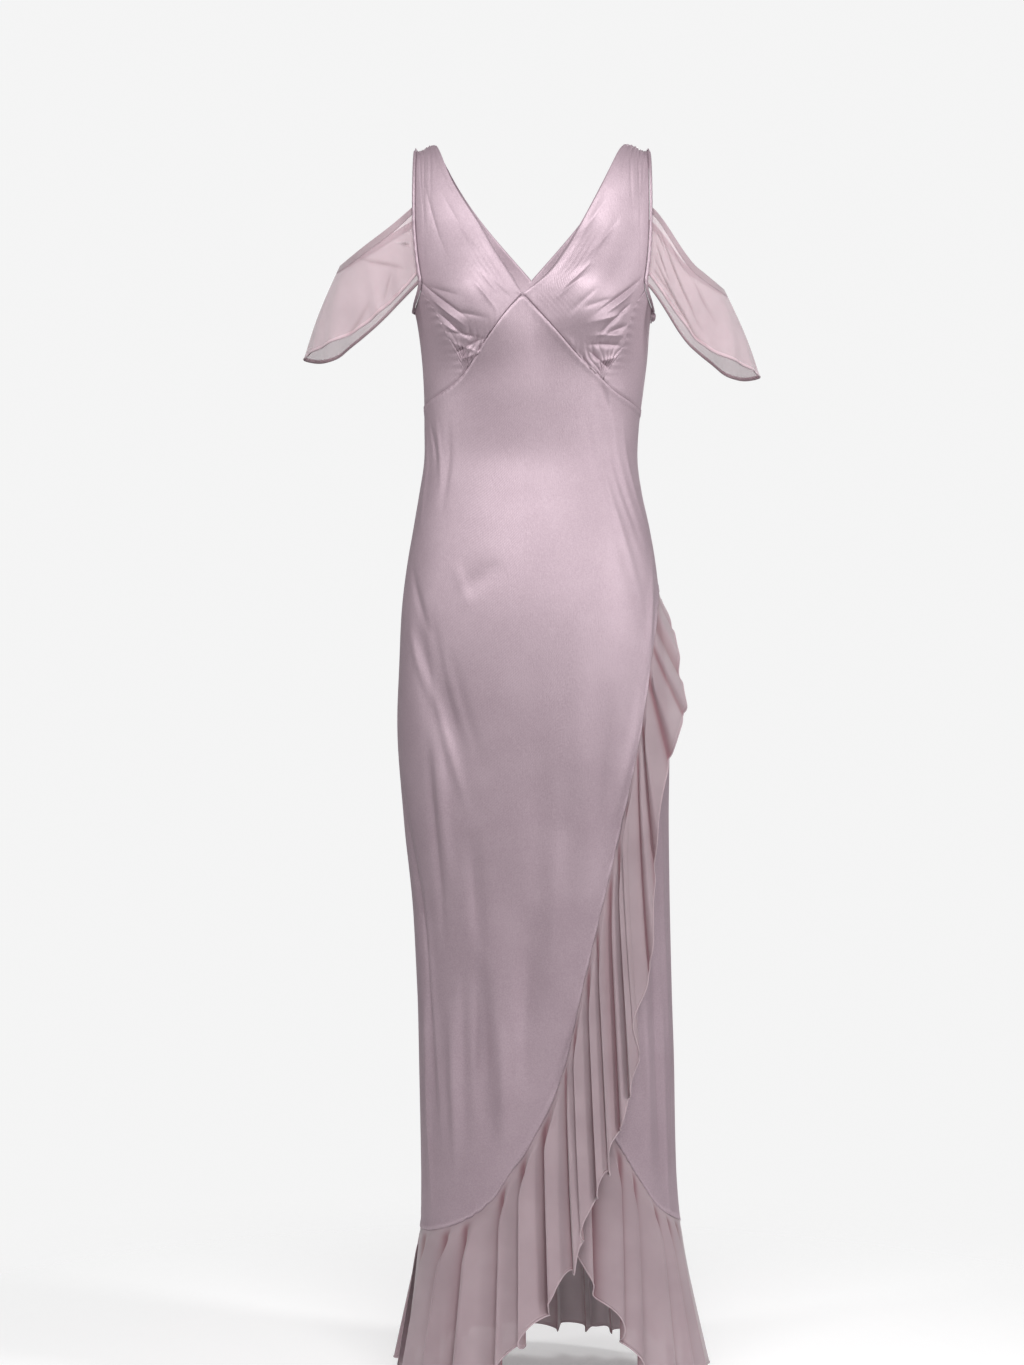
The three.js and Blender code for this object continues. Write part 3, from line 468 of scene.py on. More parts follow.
def cloth(node, grids, finish, slot, thickness, **values):
    """Thin shell through grids of points. Rows run down and angles grow along them, so each
    face looks out. Grids that share an edge are joined there, and the wall grows inwards."""
    points = np.concatenate([g.reshape(-1, 3) for g in grids])
    uvs = np.concatenate([metres_across(g).reshape(-1, 2) for g in grids])
    sizes = [g.shape[:2] for g in grids]
    for label in values:
        parts = [np.broadcast_to(values[label], size).ravel() for size in sizes]
        values[label] = np.concatenate(parts)
    faces = []
    start = 0
    for size in sizes:
        index = start + np.arange(np.prod(size)).reshape(size)
        a, b = index[:-1, :-1], index[:-1, 1:]
        d, c = index[1:, :-1], index[1:, 1:]
        faces += [np.stack([a, d, c], -1).reshape(-1, 3), np.stack([a, c, b], -1).reshape(-1, 3)]
        start += index.size
    corners = np.concatenate(faces)
    keys = np.round(points / WELD).astype(np.int64)
    _, first, welded = np.unique(keys, axis=0, return_index=True, return_inverse=True)
    welded = welded.ravel()
    triangles = welded[corners]
    a, b, c = triangles.T
    real = (a != b) & (b != c) & (c != a)
    triangles = triangles[real].astype(np.int32)
    values = {label: numbers[first] for label, numbers in values.items()}
    mesh = make_mesh(node + "_cloth", points[first], triangles, uvs[corners[real]], **values)
    piece = shown(node + "_cloth", mesh, finish, [node])
    wall = piece.modifiers.new("wall", "SOLIDIFY")
    wall.thickness = thickness * MM
    wall.offset = -1


def facing_out(side, points):
    """A grid laid out from the left of the dress, with its columns turned for the right."""
    return points if side == "left" else points[:, ::-1]


def cup_rows(side, count):
    """Ends of the rows across a cup: from the neck edge to the armhole band down to the point of
    the V, then from the under-bust seam to the seam of the side panel."""
    sign = SIGN[side]
    strap = CUP_SEAM_START * np.linspace(0, 1, count)
    neck_drop = NECK_POINT["drop"] * (strap / CUP_SEAM_START) ** 2
    edge_angle, edge_drop = armhole_edge(strap, BAND_SEAM)
    t = np.linspace(0, 1, count // 2)[1:]
    lower_angle = mix(NECK_POINT["angle"], CUP_TIP[side], t)
    lower_drop = mix(CUP_SEAM["drop"][0], CUP_SEAM["drop"][-1], t)
    seam = through(CUP_SEAM, "drop", side, lower_drop) + sign * 0.2
    inner_angle = np.append(through(NECK_FRONT, "drop", side, neck_drop), lower_angle)
    inner_drop = np.append(neck_drop, under_bust(lower_angle) + SEAM_GAP)
    outer_angle = np.append(sign * edge_angle, seam)
    outer_drop = np.append(edge_drop, np.minimum(lower_drop, under_bust(seam) + SEAM_GAP))
    return [column[:, None] for column in (inner_angle, inner_drop, outer_angle, outer_drop)]


def gathered_fan(side, angle, drop):
    """Fine gathers that fan out from the cup's lower tip: uneven rounded ridges with sharp
    valleys, |sin| round the tip, which are deepest a little way off it."""
    tip = CUP_TIP[side]
    x = np.radians(angle - tip) * CREASE_RADIUS
    y = under_bust(tip) - drop
    away = np.hypot(x, y)
    bearing = np.arctan2(y, x * SIGN[side])
    ripple = 13 * bearing + 1.3 * np.sin(4 * bearing + away / 13) + 0.8 * np.sin(away / 7)
    depth = ease(2, 20, away) * bell(np.maximum(away - 24, 0), 24)
    depth = depth * (1 + 0.5 * np.sin(3 * bearing + away / 5))
    return 1.5 * depth * (np.abs(np.sin(ripple)) - 0.65) * ease(0.0, 0.5, bearing)


def stretch_lines(off, drop):
    """Faint lines in the bias-cut cloth, parallel to the neck edge."""
    line = np.sin(2 * np.pi * off / 4.2 + 1.2 * np.sin(drop / 17))
    return 0.09 * line * bell(off - 16, 14) * ease(95, 150, drop) * ease(235, 205, drop)


def cup(side):
    """Cup with its strap. Gathers fan down from the strap's top, and short deep ones run in from
    the seam of the side panel and from the under-bust seam beside it."""
    inner_angle, inner_drop, outer_angle, outer_drop = cup_rows(side, STRAP_ROWS)
    u = columns_of(110) ** 0.8
    angle = mix(inner_angle, outer_angle, u)
    drop = mix(inner_drop, outer_drop, u)
    width = np.abs(outer_angle - inner_angle) * 1.9
    lift = -1.35 * trough(CUP_CREASES[side], angle, drop, 1.25)
    lift += gathered_fan(side, angle, drop) + stretch_lines(u * width, drop)
    edges = np.minimum(1, np.minimum(12 * u, 12 - 12 * u)) * ease(2, 26, width)
    for place, reach, slant, size, depth in zip(*STRAP_FOLDS.values()):
        off = (u - place - slant * drop) * width
        lift -= depth * bell(off, size) * np.exp(-drop / reach) * edges
    lift += 2.2 * edges * bell(u - 0.25, 0.2) * np.exp(-drop / 7)
    below = np.maximum(under_bust(angle) - drop, 0)
    near_tip = ease(9, 22, np.abs(angle)) * (drop > NECK_POINT["drop"])
    lift += pucker(angle * 2.2, below, 5.3, 0.6, 8) * near_tip
    lift += 0.35 * ease(6, 4, u * width) * (drop < NECK_POINT["drop"])
    lift -= tucked_under(below) * (drop > NECK_POINT["drop"])
    return facing_out(side, skin(angle, drop, lift))


def side_bodice(side):
    """Panel under the arm, blended between its four edges, tucked under the cup's outer seam."""
    sign = SIGN[side]
    tip_angle = abs(CUP_TIP[side]) + 1.2
    u = columns_of(48)
    v = rows_of(60)

    def top(at):
        return armhole_edge(mix(CUP_SEAM_START, 1, at), BAND_SEAM)

    def bottom(at):
        angle = mix(tip_angle, 90, at)
        return angle, under_bust(sign * angle) + SEAM_GAP

    def inner(at):
        drop = mix(top(0)[1], bottom(0)[1], at)
        seam = np.abs(through(CUP_SEAM, "drop", side, drop)) - 0.9
        corner = np.where(at < 0.5, top(0)[0], tip_angle)
        return mix(seam, corner, np.abs(2 * at - 1) ** 8), drop

    def filled(k):
        outer = 90.0 if k == 0 else mix(top(1)[1], bottom(1)[1], v)
        sides = mix(top(u)[k], bottom(u)[k], v) + mix(inner(v)[k], outer, u)
        across = mix(top(0)[k], top(1)[k], u), mix(bottom(0)[k], bottom(1)[k], u)
        return sides - mix(*across, v)

    angle = sign * np.minimum(filled(0), 90)
    drop = filled(1)
    inside = np.abs(angle) - np.abs(through(CUP_SEAM, "drop", side, drop))
    lift = -LAP_DEPTH * (1 - ease(-0.6, 1.2, inside))
    lift += pucker(drop, 2.4 * inside, 9, 0.35, 9)
    lift -= tucked_under(under_bust(angle) - drop)
    return facing_out(side, skin(angle, drop, lift + satin_relief(angle, drop)))


def armhole_band(side):
    """Narrow facing round the armhole, in one strip down the front and up the back, with a
    rounded edge and a raised seam."""
    sign = SIGN[side]
    t = rows_of(320) * 2
    w = columns_of(11)
    back = t > 1
    angle, drop = armhole_edge(np.where(back, 2 - t, t), w)
    angle = np.where(back, 180 - angle, angle)
    down = np.minimum(t, 2 - t)
    seam = 2.3 * bell(w - 0.78, 0.16)
    roll = 1.3 * np.sqrt(np.clip(1 - (1 - np.minimum(w / 0.2, 1)) ** 2, 0, 1))
    gathers = np.sin(2 * np.pi * t * 30 + 2 * np.sin(9 * t)) * np.sin(np.pi * w)
    ripple = (0.15 + 0.5 * bell(down - 0.62, 0.2)) * gathers
    points = skin(sign * angle, drop, -0.2 + roll + seam + ripple)
    return points[:, ::-1] if side == "left" else points


def back_bodice():
    """Back from the straps to the seam above the skirt, in two halves that meet at the middle."""
    side_share = 0.7
    neck_share = BACK_NECK_SHARE
    v = rows_of(BACK_ROWS)
    u = columns_of(60)
    arm_angle, arm_drop = armhole_edge(np.minimum(v / side_share, 1), BAND_SEAM)
    underarm = armhole_edge(1.0, BAND_SEAM)[1]
    side_drop = mix(underarm, BACK_SEAM["side"], (v - side_share) / (1 - side_share))
    arm_drop = np.where(v <= side_share, arm_drop, side_drop)
    t = (v / neck_share) ** 2
    neck_angle = np.where(v < neck_share, mix(NECK_BACK["angle"], 0, t), 0)
    below = mix(NECK_BACK["drop"], BACK_SEAM["centre"], (v - neck_share) / (1 - neck_share))
    neck_drop = np.where(v < neck_share, NECK_BACK["drop"] * t, below)
    angle = 180 - mix(neck_angle, arm_angle, u)
    drop = mix(neck_drop, arm_drop, u)
    seam = back_seam(angle) + SEAM_GAP
    drop = np.where(v > 0.999, seam, np.minimum(drop, seam))
    strap = np.exp(-drop / 50) * np.minimum(1, np.minimum(9 * u, 9 - 9 * u))
    lift = -1.6 * strap * (0.5 + 0.5 * np.cos(2 * np.pi * (5.5 * u + 0.3 * np.sin(5 * u))))
    lift -= tucked_under(seam - drop)
    left = skin(angle, drop, lift + satin_relief(angle, drop))
    right = skin(-angle, drop, lift + satin_relief(360 - angle, drop))
    return [left[:, ::-1], right]


def back_seam(angle):
    return mix(BACK_SEAM["side"], BACK_SEAM["centre"], np.sin(np.radians(angle - 90)))


def skirt_panel(angle, top, bottom, rows, lift=0.0):
    """Satin skirt panel: straight down from its upper seam to its lower one, both edges turned
    under and raised in a narrow stitched strip that puckers, the upper one over the bodice."""
    v = rows_of(rows)
    v = v + 0.012 * np.sin(2 * np.pi * v)
    drop = mix(top - SEAM_GAP, bottom, v)
    x = np.radians(angle) * CREASE_RADIUS
    down = drop - top
    up = bottom - drop
    turned = 0.6 * ease(*TURNED_UNDER["upper"], down)
    turned += 0.5 * ease(*TURNED_UNDER["lower"], up)
    waves = pucker(x, down, 9, 0.35, 7) + pucker(x + 0.5 * drop, up, 10, 0.7, 9)
    return skin(angle, drop, lift + turned + waves + satin_relief(angle, drop))


def front_overlap():
    angle = mix(-90, 90, columns_of(168))
    return skirt_panel(angle, under_bust(angle) + SEAM_GAP, drop_at(WRAP_SEAM, angle), 188)


def underlap_depth(angle):
    return mix(UNDERLAP_DEPTH["front"], UNDERLAP_DEPTH["side"], ease(72, 90, angle))


def on_form(angle):
    return 0.0 * angle


def front_underlap():
    """Panel behind the wrap, its upper part covered by the overlap and its flounce."""
    angle = mix(11, 90, columns_of(72))
    cover = WRAP_COVER * np.minimum((90 - angle) / 28, 1)
    top = drop_at(WRAP_SEAM, angle) - cover
    bottom = drop_at(UNDERLAP_SEAM, angle)
    return skirt_panel(angle, top, bottom, 104, -underlap_depth(angle))


def back_skirt():
    angle = mix(90, 270, columns_of(124))
    return skirt_panel(angle, back_seam(angle) + SEAM_GAP, drop_at(BACK_HEM_SEAM, angle), 130)


def flounce(seam, table, waves, columns, rows, depth):
    """Flounce hung from a seam, in flutes that grow from small gathers. Each is an uneven wave
    whose crest is broadened into a flat panel, so that the trough beside it is a narrow slot. The
    panel is highest at the side it leans to, over the slot, and its corner there hangs lowest."""
    line_angle = np.linspace(seam["angle"][0], seam["angle"][-1], SEAM_SAMPLES)
    line_drop = drop_at(seam, line_angle)
    length = lengths_along(skin(line_angle, line_drop))
    fraction = length / length[-1]
    along = columns_of(columns)
    t = mix(-TUCKED, 1, rows_of(rows))
    hang = np.maximum(t, 0)
    from_angle = np.interp(along, fraction, line_angle)
    from_drop = np.interp(along, fraction, line_drop)
    fall, turn, lift, height = (
        through(table, "along", column, along) for column in ("fall", "turn", "lift", "wave")
    )
    count = waves["count"]
    turned = (from_angle - line_angle[0]) / (line_angle[-1] - line_angle[0])
    place = mix(along, turned, 0.3)
    place = place * (0.7 + 0.3 * place)
    phase = 2 * np.pi * count * place + waves["uneven"] * np.sin(count * 2.6 * place)
    phase = phase + 0.4 * waves["uneven"] * np.sin(count * 4.3 * place + 1)
    pitch = (np.gradient(from_angle[0]) / np.gradient(phase[0]))[None, :]
    pitch = np.minimum(pitch, 1.2 * pitch.mean())
    crest = 0.5 - 0.5 * np.cos(phase)
    side = -np.sign(waves["lean"]) * np.sin(phase)
    panel = (1 - (1 - crest) ** 2.2) * (1 + 0.3 * side)
    full = height * (1 + 0.22 * np.sin(0.41 * phase + 0.7))
    narrow = 2 * np.pi * np.abs(pitch) / NARROW_FLUTE["degrees"]
    size = full * np.clip(narrow, NARROW_FLUTE["lowest"], 1)
    formed = ease(0, 0.3, hang) * np.minimum(height / 12, 1)
    lean = waves["lean"] * (1 + 0.4 * np.sin(0.73 * phase + 2))
    sideways = lean * crest - waves["round"] * np.sin(phase)
    fine = 0.08 * height * np.sin(2.37 * phase + 1.1 * np.sin(phase)) * hang**2
    angle = from_angle + turn * hang**1.2 + pitch * sideways * formed
    gather = 0.16 * ease(0.005, 0.08, hang) + 0.84 * hang**0.95
    off = lift * hang**FLARE_START + (0.8 * (full - size) + size * panel) * gather + fine
    off -= depth(from_angle) + LAP_DEPTH * ease(0.01, -0.01, t)
    corner = np.maximum(waves["corner"] * height, 4) * np.minimum(height / 4, 1) * side * hang**2
    points = skin(angle, from_drop + fall * t + corner, off)
    # Painted shade in the slots beside the panels: share of the darker fold colour, largest at the
    # trough.
    fold = (1 - crest) ** 3 * ease(0, 0.06, hang) * np.minimum(height / 8, 1)
    return points, fall * (1 - t), fold


def rolled_edge(name, path, radius, finish):
    """Narrow rolled hem: a ring of eight points carried along the edge of the cloth."""
    along = unit(np.gradient(path, axis=0))
    out = unit(np.cross(along, unit(path * (1, 1, 0)) + (0, 0, 0.01)))
    across = np.cross(out, along)
    turn = 2 * np.pi * np.arange(8) / 8
    ring = np.cos(turn)[:, None, None] * out + np.sin(turn)[:, None, None] * across
    points = (path + radius * ring).reshape(-1, 3)
    count = len(path)
    index = np.arange(8 * count).reshape(8, count)
    a, b = index[:, :-1], index[:, 1:]
    d, c = np.roll(a, -1, axis=0), np.roll(b, -1, axis=0)
    sides = [np.stack(f, -1).reshape(-1, 3) for f in ((a, b, c), (a, c, d))]
    ends = [(index[0, 0], index[k + 1, 0], index[k, 0]) for k in range(1, 7)]
    ends += [(index[0, -1], index[k, -1], index[k + 1, -1]) for k in range(1, 7)]
    triangles = np.concatenate([*sides, np.array(ends)]).astype(np.int32)
    uv = points[triangles.ravel()][:, [0, 2]] * MM
    mesh = make_mesh(name, points, triangles, uv, hem=np.zeros(len(points)))
    shown(name, mesh, finish, [])


def inset(points, distance):
    """Path across a grid at a distance below its first row, with the normals along it."""
    steps = np.linalg.norm(np.diff(points, axis=0), axis=-1)
    down = np.concatenate([np.zeros_like(steps[:1]), np.cumsum(steps, axis=0)])
    below = np.clip((down < distance).sum(axis=0), 1, len(points) - 1)
    column = np.arange(points.shape[1])
    above = below - 1
    share = (distance - down[above, column]) / (down[below, column] - down[above, column] + 1e-6)
    first, second = points[above, column], points[below, column]
    path = mix(first, second, np.clip(share, 0, 1)[:, None])
    out = unit(np.cross(second - first, np.gradient(path, axis=0)))
    away = np.sum(out * path * (1, 1, 0), axis=-1, keepdims=True)
    return path, out * np.where(away < 0, -1, 1)


def stitches(name, *rows):
    """Rows of short stitches as one piece: slim beads of eight faces along each path."""
    pitch = STITCH["pitch"]
    points = []
    for path, out in rows:
        along = lengths_along(path)
        at = np.arange(pitch / 2, along[-1] - pitch / 2, pitch)
        here, ahead, normal = (
            np.stack([np.interp(where, along, numbers[:, k]) for k in range(3)], axis=-1)
            for where, numbers in ((at, path), (at + 0.5, path), (at, out))
        )
        lead = unit(ahead - here)
        wide = STITCH["half_width"] * np.cross(lead, normal)
        high = STITCH["half_height"] * normal
        offsets = (lead, -lead, wide, high, -wide, -high)
        points.append(np.stack([here + offset for offset in offsets], axis=1).reshape(-1, 3))
    points = np.concatenate(points)
    bead = [(0, 3, 2), (0, 4, 3), (0, 5, 4), (0, 2, 5), (1, 2, 3), (1, 3, 4), (1, 4, 5), (1, 5, 2)]
    starts = 6 * np.arange(len(points) // 6)
    triangles = (starts[:, None, None] + np.array(bead)).reshape(-1, 3).astype(np.int32)
    shown(name, make_mesh(name, points, triangles), thread_finish, [])


def sleeve_trough(side, place, t):
    """Creases of a sleeve, laid out flat as far as it reaches round the arm and down it."""
    turn = np.degrees(SLEEVE_ROUND / CREASE_RADIUS)
    scales = (turn, SLEEVE_DEEP, turn, SLEEVE_DEEP, 1, 1)
    lines = zip(LINE.split(), SLEEVE_CREASES[side].values(), scales)
    flat = {label: column * scale for label, column, scale in lines}
    return trough(flat, place * turn, t * SLEEVE_DEEP, 1.3)


def sleeve(side):
    """Sleeve and its bound top edge: straight lines from the top edge to the hem, bellied out a
    little and waved towards the hem, with both ends drawn onto the armhole edge."""
    sign = SIGN[side]

    def sewn_at(back, drop):
        angle = 180 - ARMHOLE["angle"] - 0.4 if back else ARMHOLE["angle"] + 0.4
        place = skin(sign * np.full(np.shape(drop), angle), drop)
        return place * (sign, 1, 1)

    def end_row(end, back):
        top, hem = sewn_at(back, np.array(SLEEVE_ENDS[end], float))
        return (top[0], top[1], -top[2], hem[0], hem[1], -hem[2])

    rows = [end_row("front", False), *SLEEVE, end_row("back", True)]
    last = len(rows) - 1
    table = named("place " + SLEEVE_COLUMNS, *[(i / last, *row) for i, row in enumerate(rows)])

    def between(columns, t):
        top_x, top_y, top_drop, hem_x, hem_y, hem_drop = columns
        ends = (top_x, hem_x), (top_y, hem_y), (-top_drop, -hem_drop)
        return np.stack([mix(a, b, t) for a, b in ends], axis=-1)

    def at(place, t):
        p = between([through(table, "place", c, place) for c in SLEEVE_COLUMNS.split()], t)
        if side == "left":
            p[..., 2] -= LEFT_SLEEVE_SLIP * ease(141, 196, p[..., 0]) * (1 - 0.25 * t)
        centre = np.array([SLEEVE_CENTRE["x"], SLEEVE_CENTRE["y"]])
        away = np.linalg.norm(p[..., :2] - centre, axis=-1)
        wave = SLEEVE_WAVES["height"] * t * np.sin(2 * np.pi * SLEEVE_WAVES["count"] * place)
        wave = wave + 1.6 * t**1.5 * np.sin(2 * np.pi * 11.4 * place + 1.3)
        crease = sleeve_trough(side, place, t) * ease(0, 0.02, place)
        belly = np.sin(np.pi * place) * (wave + SLEEVE_BULGE * np.sin(np.pi * t))
        grow = 1 + (belly - crease) / away
        p[..., :2] = centre + (p[..., :2] - centre) * grow[..., None]
        for end, back, near in (("front", False, place), ("back", True, 1 - place)):
            pull = np.maximum(1 - near * last, 0) ** 2
            drops = mix(*SLEEVE_ENDS[end], t)
            edge = sewn_at(back, drops) - between(rows[last if back else 0], t)
            p = p + edge * pull[..., None]
        return p * (sign, 1, 1)

    u = columns_of(160)
    if side == "right":
        u = u[:, ::-1]
    ends = [at(u, np.full(u.shape, t)) for t in (0.0, 1.0)]
    length = np.linalg.norm(ends[1] - ends[0], axis=-1)

    def grid(first, last_place, count):
        t = mix(first, last_place, rows_of(count))
        return at(np.broadcast_to(u, t.shape), t)

    band = grid(np.zeros_like(length), SLEEVE_BAND / length, 9)
    body = grid((SLEEVE_BAND - 1) / length, np.ones_like(length), 48)
    down = mix((SLEEVE_BAND - 1) / length, 1, rows_of(48))
    # Painted shade along the sleeve's creases: share of the darker fold colour.
    fold = 0.7 * np.clip(sleeve_trough(side, u, down) / 2, 0, 1)
    return band, body, length * (1 - down), fold


def button_and_loop():
    """Covered button, a dome turned round its own axis, and its loop, a thin ring round it."""
    at = skin(BUTTON["angle"], BUTTON["drop"])
    out = outward(BUTTON["angle"], BUTTON["drop"])
    side = unit(np.cross(out, (0, 0, 1)))
    up = np.cross(side, out)
    turn = 2 * np.pi * columns_of(49)
    rise = np.pi * (1 - rows_of(24))
    gather = 1 + 0.02 * np.cos(14 * turn) * np.cos(rise / 2) ** 2
    radius = BUTTON["radius"] * np.sin(rise) ** 0.9 * gather
    height = BUTTON["height"] * (0.5 - 0.5 * np.cos(rise))
    ring = np.cos(turn)[..., None] * side + np.sin(turn)[..., None] * up
    dome = at + out * SEAM_GAP + ring * radius[..., None] + height[..., None] * out
    around = 2 * np.pi * rows_of(13)
    twist = 1 + 0.12 * np.cos(3 * around + 40 * turn)
    reach = LOOP["radius"] + LOOP["thread"] * twist * np.cos(around)
    lift = SEAM_GAP + LOOP["thread"] * (1 + twist * np.sin(around))
    thread = at + ring * reach[..., None] + lift[..., None] * out
    return dome, thread


def new_material(name):
    material = bpy.data.materials.new(name)
    material.use_nodes = True
    tree = material.node_tree
    return material, tree, tree.nodes["Principled BSDF"]


def feed(tree, node, values):
    """Links each output to the input that it is for, and sets each plain value there."""
    for label, value in values.items():
        if isinstance(value, bpy.types.NodeSocket):
            tree.links.new(value, node.inputs[label])
        else:
            node.inputs[label].default_value = value


def result_of(tree, kind, result, values, **settings):
    """Output of a new shader node with these inputs and settings."""
    node = tree.nodes.new(kind)
    for key, setting in settings.items():
        setattr(node, key, setting)
    feed(tree, node, values)
    return node.outputs[result]


def noise(tree, place, scale, detail):
    values = {"Vector": place, "Scale": scale, "Detail": detail}
    return result_of(tree, "ShaderNodeTexNoise", "Fac", values)


def mapped(tree, value, interpolation="LINEAR", **limits):
    values = {key.replace("_", " ").title(): limit for key, limit in limits.items()}
    values["Value"] = value
    kind = {"interpolation_type": interpolation}
    return result_of(tree, "ShaderNodeMapRange", "Result", values, **kind)


def colour_ramp(tree, factor, *stops):
    ramp = tree.nodes.new("ShaderNodeValToRGB")
    for element, (place, colour) in zip(ramp.color_ramp.elements, stops):
        element.position = place
        element.color = (*colour, 1)
    feed(tree, ramp, {"Fac": factor})
    return ramp.outputs["Color"]


def bump(tree, height, strength, distance):
    values = {"Height": height, "Strength": strength, "Distance": distance}
    return result_of(tree, "ShaderNodeBump", "Normal", values)


def satin_finish():
    """Satin: smooth directional shine with fine slubs across it, a bias weave and soft shading."""
    material, tree, shader = new_material("dusty_mauve_satin")
    place = tree.nodes.new("ShaderNodeTexCoord").outputs
    cloudy = noise(tree, place["Object"], scale=14, detail=3)
    grain = noise(tree, place["Object"], scale=620, detail=1)
    shades = result_of(tree, "ShaderNodeMath", "Value", {0: grain, 1: cloudy}, operation="ADD")
    level = mapped(tree, shades, from_min=0.75, from_max=1.25)
    squeeze = {"Vector": place["Object"], "Scale": (700, 700, 150)}
    slub = noise(tree, result_of(tree, "ShaderNodeMapping", "Vector", squeeze), scale=1, detail=4)
    bias = {"Vector": place["UV"], "Rotation": (0, 0, np.pi / 4)}
    bias_place = result_of(tree, "ShaderNodeMapping", "Vector", bias)
    threads = {"Vector": bias_place, "Scale": 260, "Distortion": 1.5}
    weave = result_of(tree, "ShaderNodeTexWave", "Fac", threads)
    blend = {0: weave, 1: 0.25, 2: slub}
    relief = result_of(tree, "ShaderNodeMath", "Value", blend, operation="MULTIPLY_ADD")
    around = result_of(tree, "ShaderNodeTangent", "Tangent", {}, direction_type="RADIAL", axis="Z")
    values = {
        "Base Color": colour_ramp(tree, level, (0, SATIN_SHADE), (1, SATIN_LIGHT)),
        "Normal": bump(tree, relief, strength=0.5, distance=0.0005),
        "Roughness": mapped(tree, slub, to_min=0.41, to_max=0.55),
        "Tangent": around,
        "Anisotropic": 0.6,
        "Metallic": 0.36,
        "Specular IOR Level": 0.7,
        "Sheen Weight": 0.15,
        "Sheen Roughness": 0.35,
        "Sheen Tint": (1, 0.9, 0.95, 1),
    }
    feed(tree, shader, values)
    return material


def georgette_finish(name, cover, light=1.0):
    """Georgette: matte crepe grain, a little see-through and closed along its rolled hem. Its colour
    is deeper in the slots of its folds and along its creases: painted shade, and the cloth lying
    double."""
    material, tree, shader = new_material(name)
    place = tree.nodes.new("ShaderNodeTexCoord").outputs["Object"]
    shade, bright = np.array([GEORGETTE_SHADE, GEORGETTE_LIGHT]) * light
    cloudy = noise(tree, place, scale=18, detail=3)
    colour = colour_ramp(tree, cloudy, (0.35, shade), (0.65, bright))
    in_fold, from_hem = (
        result_of(tree, "ShaderNodeAttribute", "Fac", {}, attribute_name=label)
        for label in ("fold", "hem")
    )
    # Painted shade: the colour is mixed towards the darker fold colour in the slots of the folds and
    # along the creases.
    blend = {"Factor": in_fold, 6: colour, 7: (*GEORGETTE_FOLD_SHADE, 1)}
    crepe = noise(tree, place, scale=1500, detail=2)
    values = {
        "Base Color": result_of(tree, "ShaderNodeMix", 2, blend, data_type="RGBA"),
        "Normal": bump(tree, crepe, strength=0.3, distance=0.0003),
        "Alpha": mapped(tree, from_hem, from_min=3.2, from_max=4.2, to_min=0.9, to_max=cover),
        "Subsurface Weight": 0.3,
        "Subsurface Radius": (1, 0.8, 0.85),
        "Subsurface Scale": 0.001,
        "Roughness": 0.78,
        "Specular IOR Level": 0.25,
        "Sheen Weight": 0.35,
        "Sheen Roughness": 0.5,
    }
    feed(tree, shader, values)
    return material


def thread_look():
    material, tree, shader = new_material("pale_mauve_thread")
    feed(tree, shader, {"Base Color": (0.56, 0.45, 0.5, 1), "Roughness": 0.5})
    return material


def pale_floor():
    """Round pale floor that fades out towards its rim."""
    height = -(HEM_DROP + FLOOR["below_hem"]) * MM
    bpy.ops.mesh.primitive_circle_add(
        vertices=96, radius=FLOOR["radius"], fill_type="NGON", location=(0, 0, height)
    )
    floor = bpy.context.object
    floor.name = "floor"
    material, tree, shader = new_material("pale_floor")
    place = tree.nodes.new("ShaderNodeTexCoord").outputs["Object"]
    away = result_of(tree, "ShaderNodeVectorMath", "Value", {0: place}, operation="LENGTH")
    near, far = FLOOR["fade"]
    values = {
        "Base Color": (0.86, 0.86, 0.86, 1),
        "Roughness": 0.9,
        "Specular IOR Level": 0.1,
        "Emission Color": (1, 1, 1, 1),
        "Emission Strength": 0.24,
        "Alpha": mapped(tree, away, "SMOOTHSTEP", from_min=near, from_max=far, to_min=1, to_max=0),
    }
    feed(tree, shader, values)
    floor.data.materials.append(material)


def soft_light(name, place, target, size, power):
    light = bpy.data.lights.new(name, "AREA")
    light.shape = "RECTANGLE"
    light.size, light.size_y = size
    light.energy = power
    lamp = bpy.data.objects.new(name, light)
    lamp.location = place
    direction = Vector(target) - Vector(place)
    lamp.rotation_euler = direction.to_track_quat("-Z", "Y").to_euler()
    bpy.context.scene.collection.objects.link(lamp)


def studio():
    """Pale surroundings, soft lights and the camera at the photograph's place and framing."""
    world = bpy.data.worlds.new("pale_surroundings")
    world.use_nodes = True
    tree = world.node_tree
    backdrop = tree.nodes["Background"]
    feed(tree, backdrop, {"Color": (0.91, 0.91, 0.91, 1)})
    glow = {"Color": (1, 0.98, 0.99, 1), "Strength": AMBIENT}
    fill = result_of(tree, "ShaderNodeBackground", "Background", glow)
    seen = tree.nodes.new("ShaderNodeLightPath").outputs["Is Camera Ray"]
    choice = {0: seen, 1: fill, 2: backdrop.outputs["Background"]}
    surface = result_of(tree, "ShaderNodeMixShader", "Shader", choice)
    feed(tree, tree.nodes["World Output"], {"Surface": surface})
    bpy.context.scene.world = world
    for name, light in LIGHTS.items():
        soft_light(name, *light)
    pale_floor()
    lens = bpy.data.cameras.new("camera")
    lens.lens = CAMERA["lens"]
    lens.sensor_width = CAMERA["sensor"]
    camera = bpy.data.objects.new("camera", lens)
    camera.location = CAMERA["place"]
    camera.rotation_euler = (np.pi / 2, 0, 0)
    bpy.context.scene.collection.objects.link(camera)
    bpy.context.scene.camera = camera
    bpy.context.scene.view_settings.view_transform = "Standard"


def satin_piece(node, *grids):
    cloth(node, grids, satin, "satin", SATIN_CLOTH)


def georgette_piece(node, points, hem, finish, fold):
    cloth(node, [points], finish, "georgette", GEORGETTE_CLOTH, hem=hem, fold=fold)


def from_side(points, last):
    """A grid turned so that its first or last column is its first row."""
    turned = points.transpose(1, 0, 2)
    return turned[::-1] if last else turned


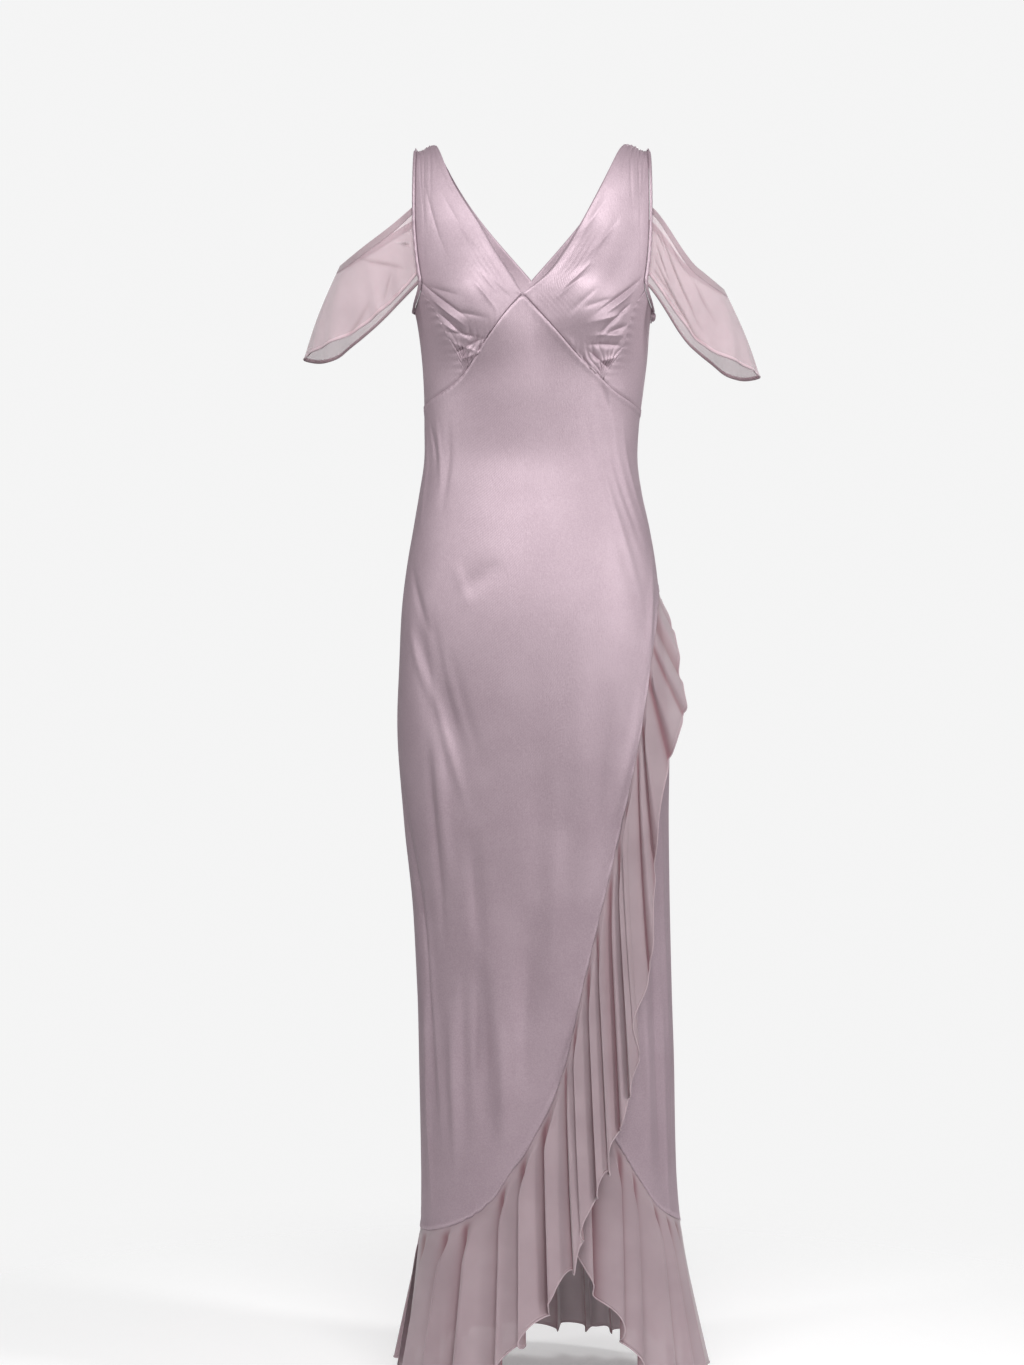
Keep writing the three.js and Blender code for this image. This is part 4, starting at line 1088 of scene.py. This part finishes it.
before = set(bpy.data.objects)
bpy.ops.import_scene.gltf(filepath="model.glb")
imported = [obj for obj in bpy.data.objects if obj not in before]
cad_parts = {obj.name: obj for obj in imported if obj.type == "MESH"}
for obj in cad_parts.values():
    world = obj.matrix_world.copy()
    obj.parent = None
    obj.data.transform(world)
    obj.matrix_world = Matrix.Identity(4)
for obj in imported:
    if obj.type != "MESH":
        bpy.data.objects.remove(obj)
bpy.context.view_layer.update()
studio()

satin = satin_finish()
flounce_georgette = georgette_finish("mauve_georgette", 0.76)
sleeve_georgette = georgette_finish("mauve_georgette_sleeve", 0.38, 1.48)
hem_georgette = georgette_finish("mauve_georgette_hem", 0.9, 1.12)
thread_finish = thread_look()

for side in SIGN:
    on_left = side == "left"
    cup_points = cup(side)
    satin_piece("cup_" + side, cup_points)
    neck = from_side(cup_points[: STRAP_ROWS - 2], not on_left)
    stitches("cup_" + side + "_stitches", inset(neck, STITCHED["neck"]))
    satin_piece("side_bodice_" + side, side_bodice(side))
    band_points = armhole_band(side)
    satin_piece("armhole_band_" + side, band_points)
    armhole = from_side(band_points, on_left)
    stitches("band_" + side + "_stitches", inset(armhole, STITCHED["armhole"]))
    band, body, hem, fold = sleeve(side)
    georgette_piece("sleeve_" + side, body, hem, sleeve_georgette, fold)
    rolled_edge("sleeve_hem_" + side, body[-1], HEM_ROLL["sleeve"], hem_georgette)
    cloth("sleeve_band_" + side, [band], flounce_georgette, "georgette", BINDING_CLOTH, hem=0.0)
left_half, right_half = back_bodice()
satin_piece("back_bodice", left_half, right_half)
neck_rows = int(BACK_NECK_SHARE * (BACK_ROWS - 1))
back_neck = [from_side(left_half[:neck_rows], True), from_side(right_half[:neck_rows], False)]
stitches("back_neck_stitches", *[inset(edge, STITCHED["neck"]) for edge in back_neck])
for node, points, name in (
    ("front_overlap", front_overlap(), "front_stitches"),
    ("front_underlap", front_underlap(), "underlap_stitches"),
    ("back_skirt", back_skirt(), "back_skirt_stitches"),
):
    satin_piece(node, points)
    stitches(name, inset(points, STITCHED["upper"]), inset(points[::-1], STITCHED["lower"]))

for node, seam, table, waves, size, depth in (
    ("flounce_overlap", WRAP_SEAM, OVERLAP_FLOUNCE, OVERLAP_WAVES, (620, 60), on_form),
    (
        "flounce_underlap", UNDERLAP_SEAM, UNDERLAP_FLOUNCE, UNDERLAP_WAVES, (220, 48),
        underlap_depth,
    ),
    ("flounce_back", BACK_HEM_SEAM, BACK_FLOUNCE, BACK_WAVES, (400, 40), on_form),
):
    points, hem, fold = flounce(seam, table, waves, *size, depth)
    georgette_piece(node, points, hem, flounce_georgette, fold)
    rolled_edge(node + "_hem", points[-1], HEM_ROLL["flounce"], hem_georgette)

dome, thread = button_and_loop()
cloth("side_button", [dome], satin, "satin", BUTTON_CLOTH)
cloth("button_loop", [thread], satin, "satin", LOOP_CLOTH)
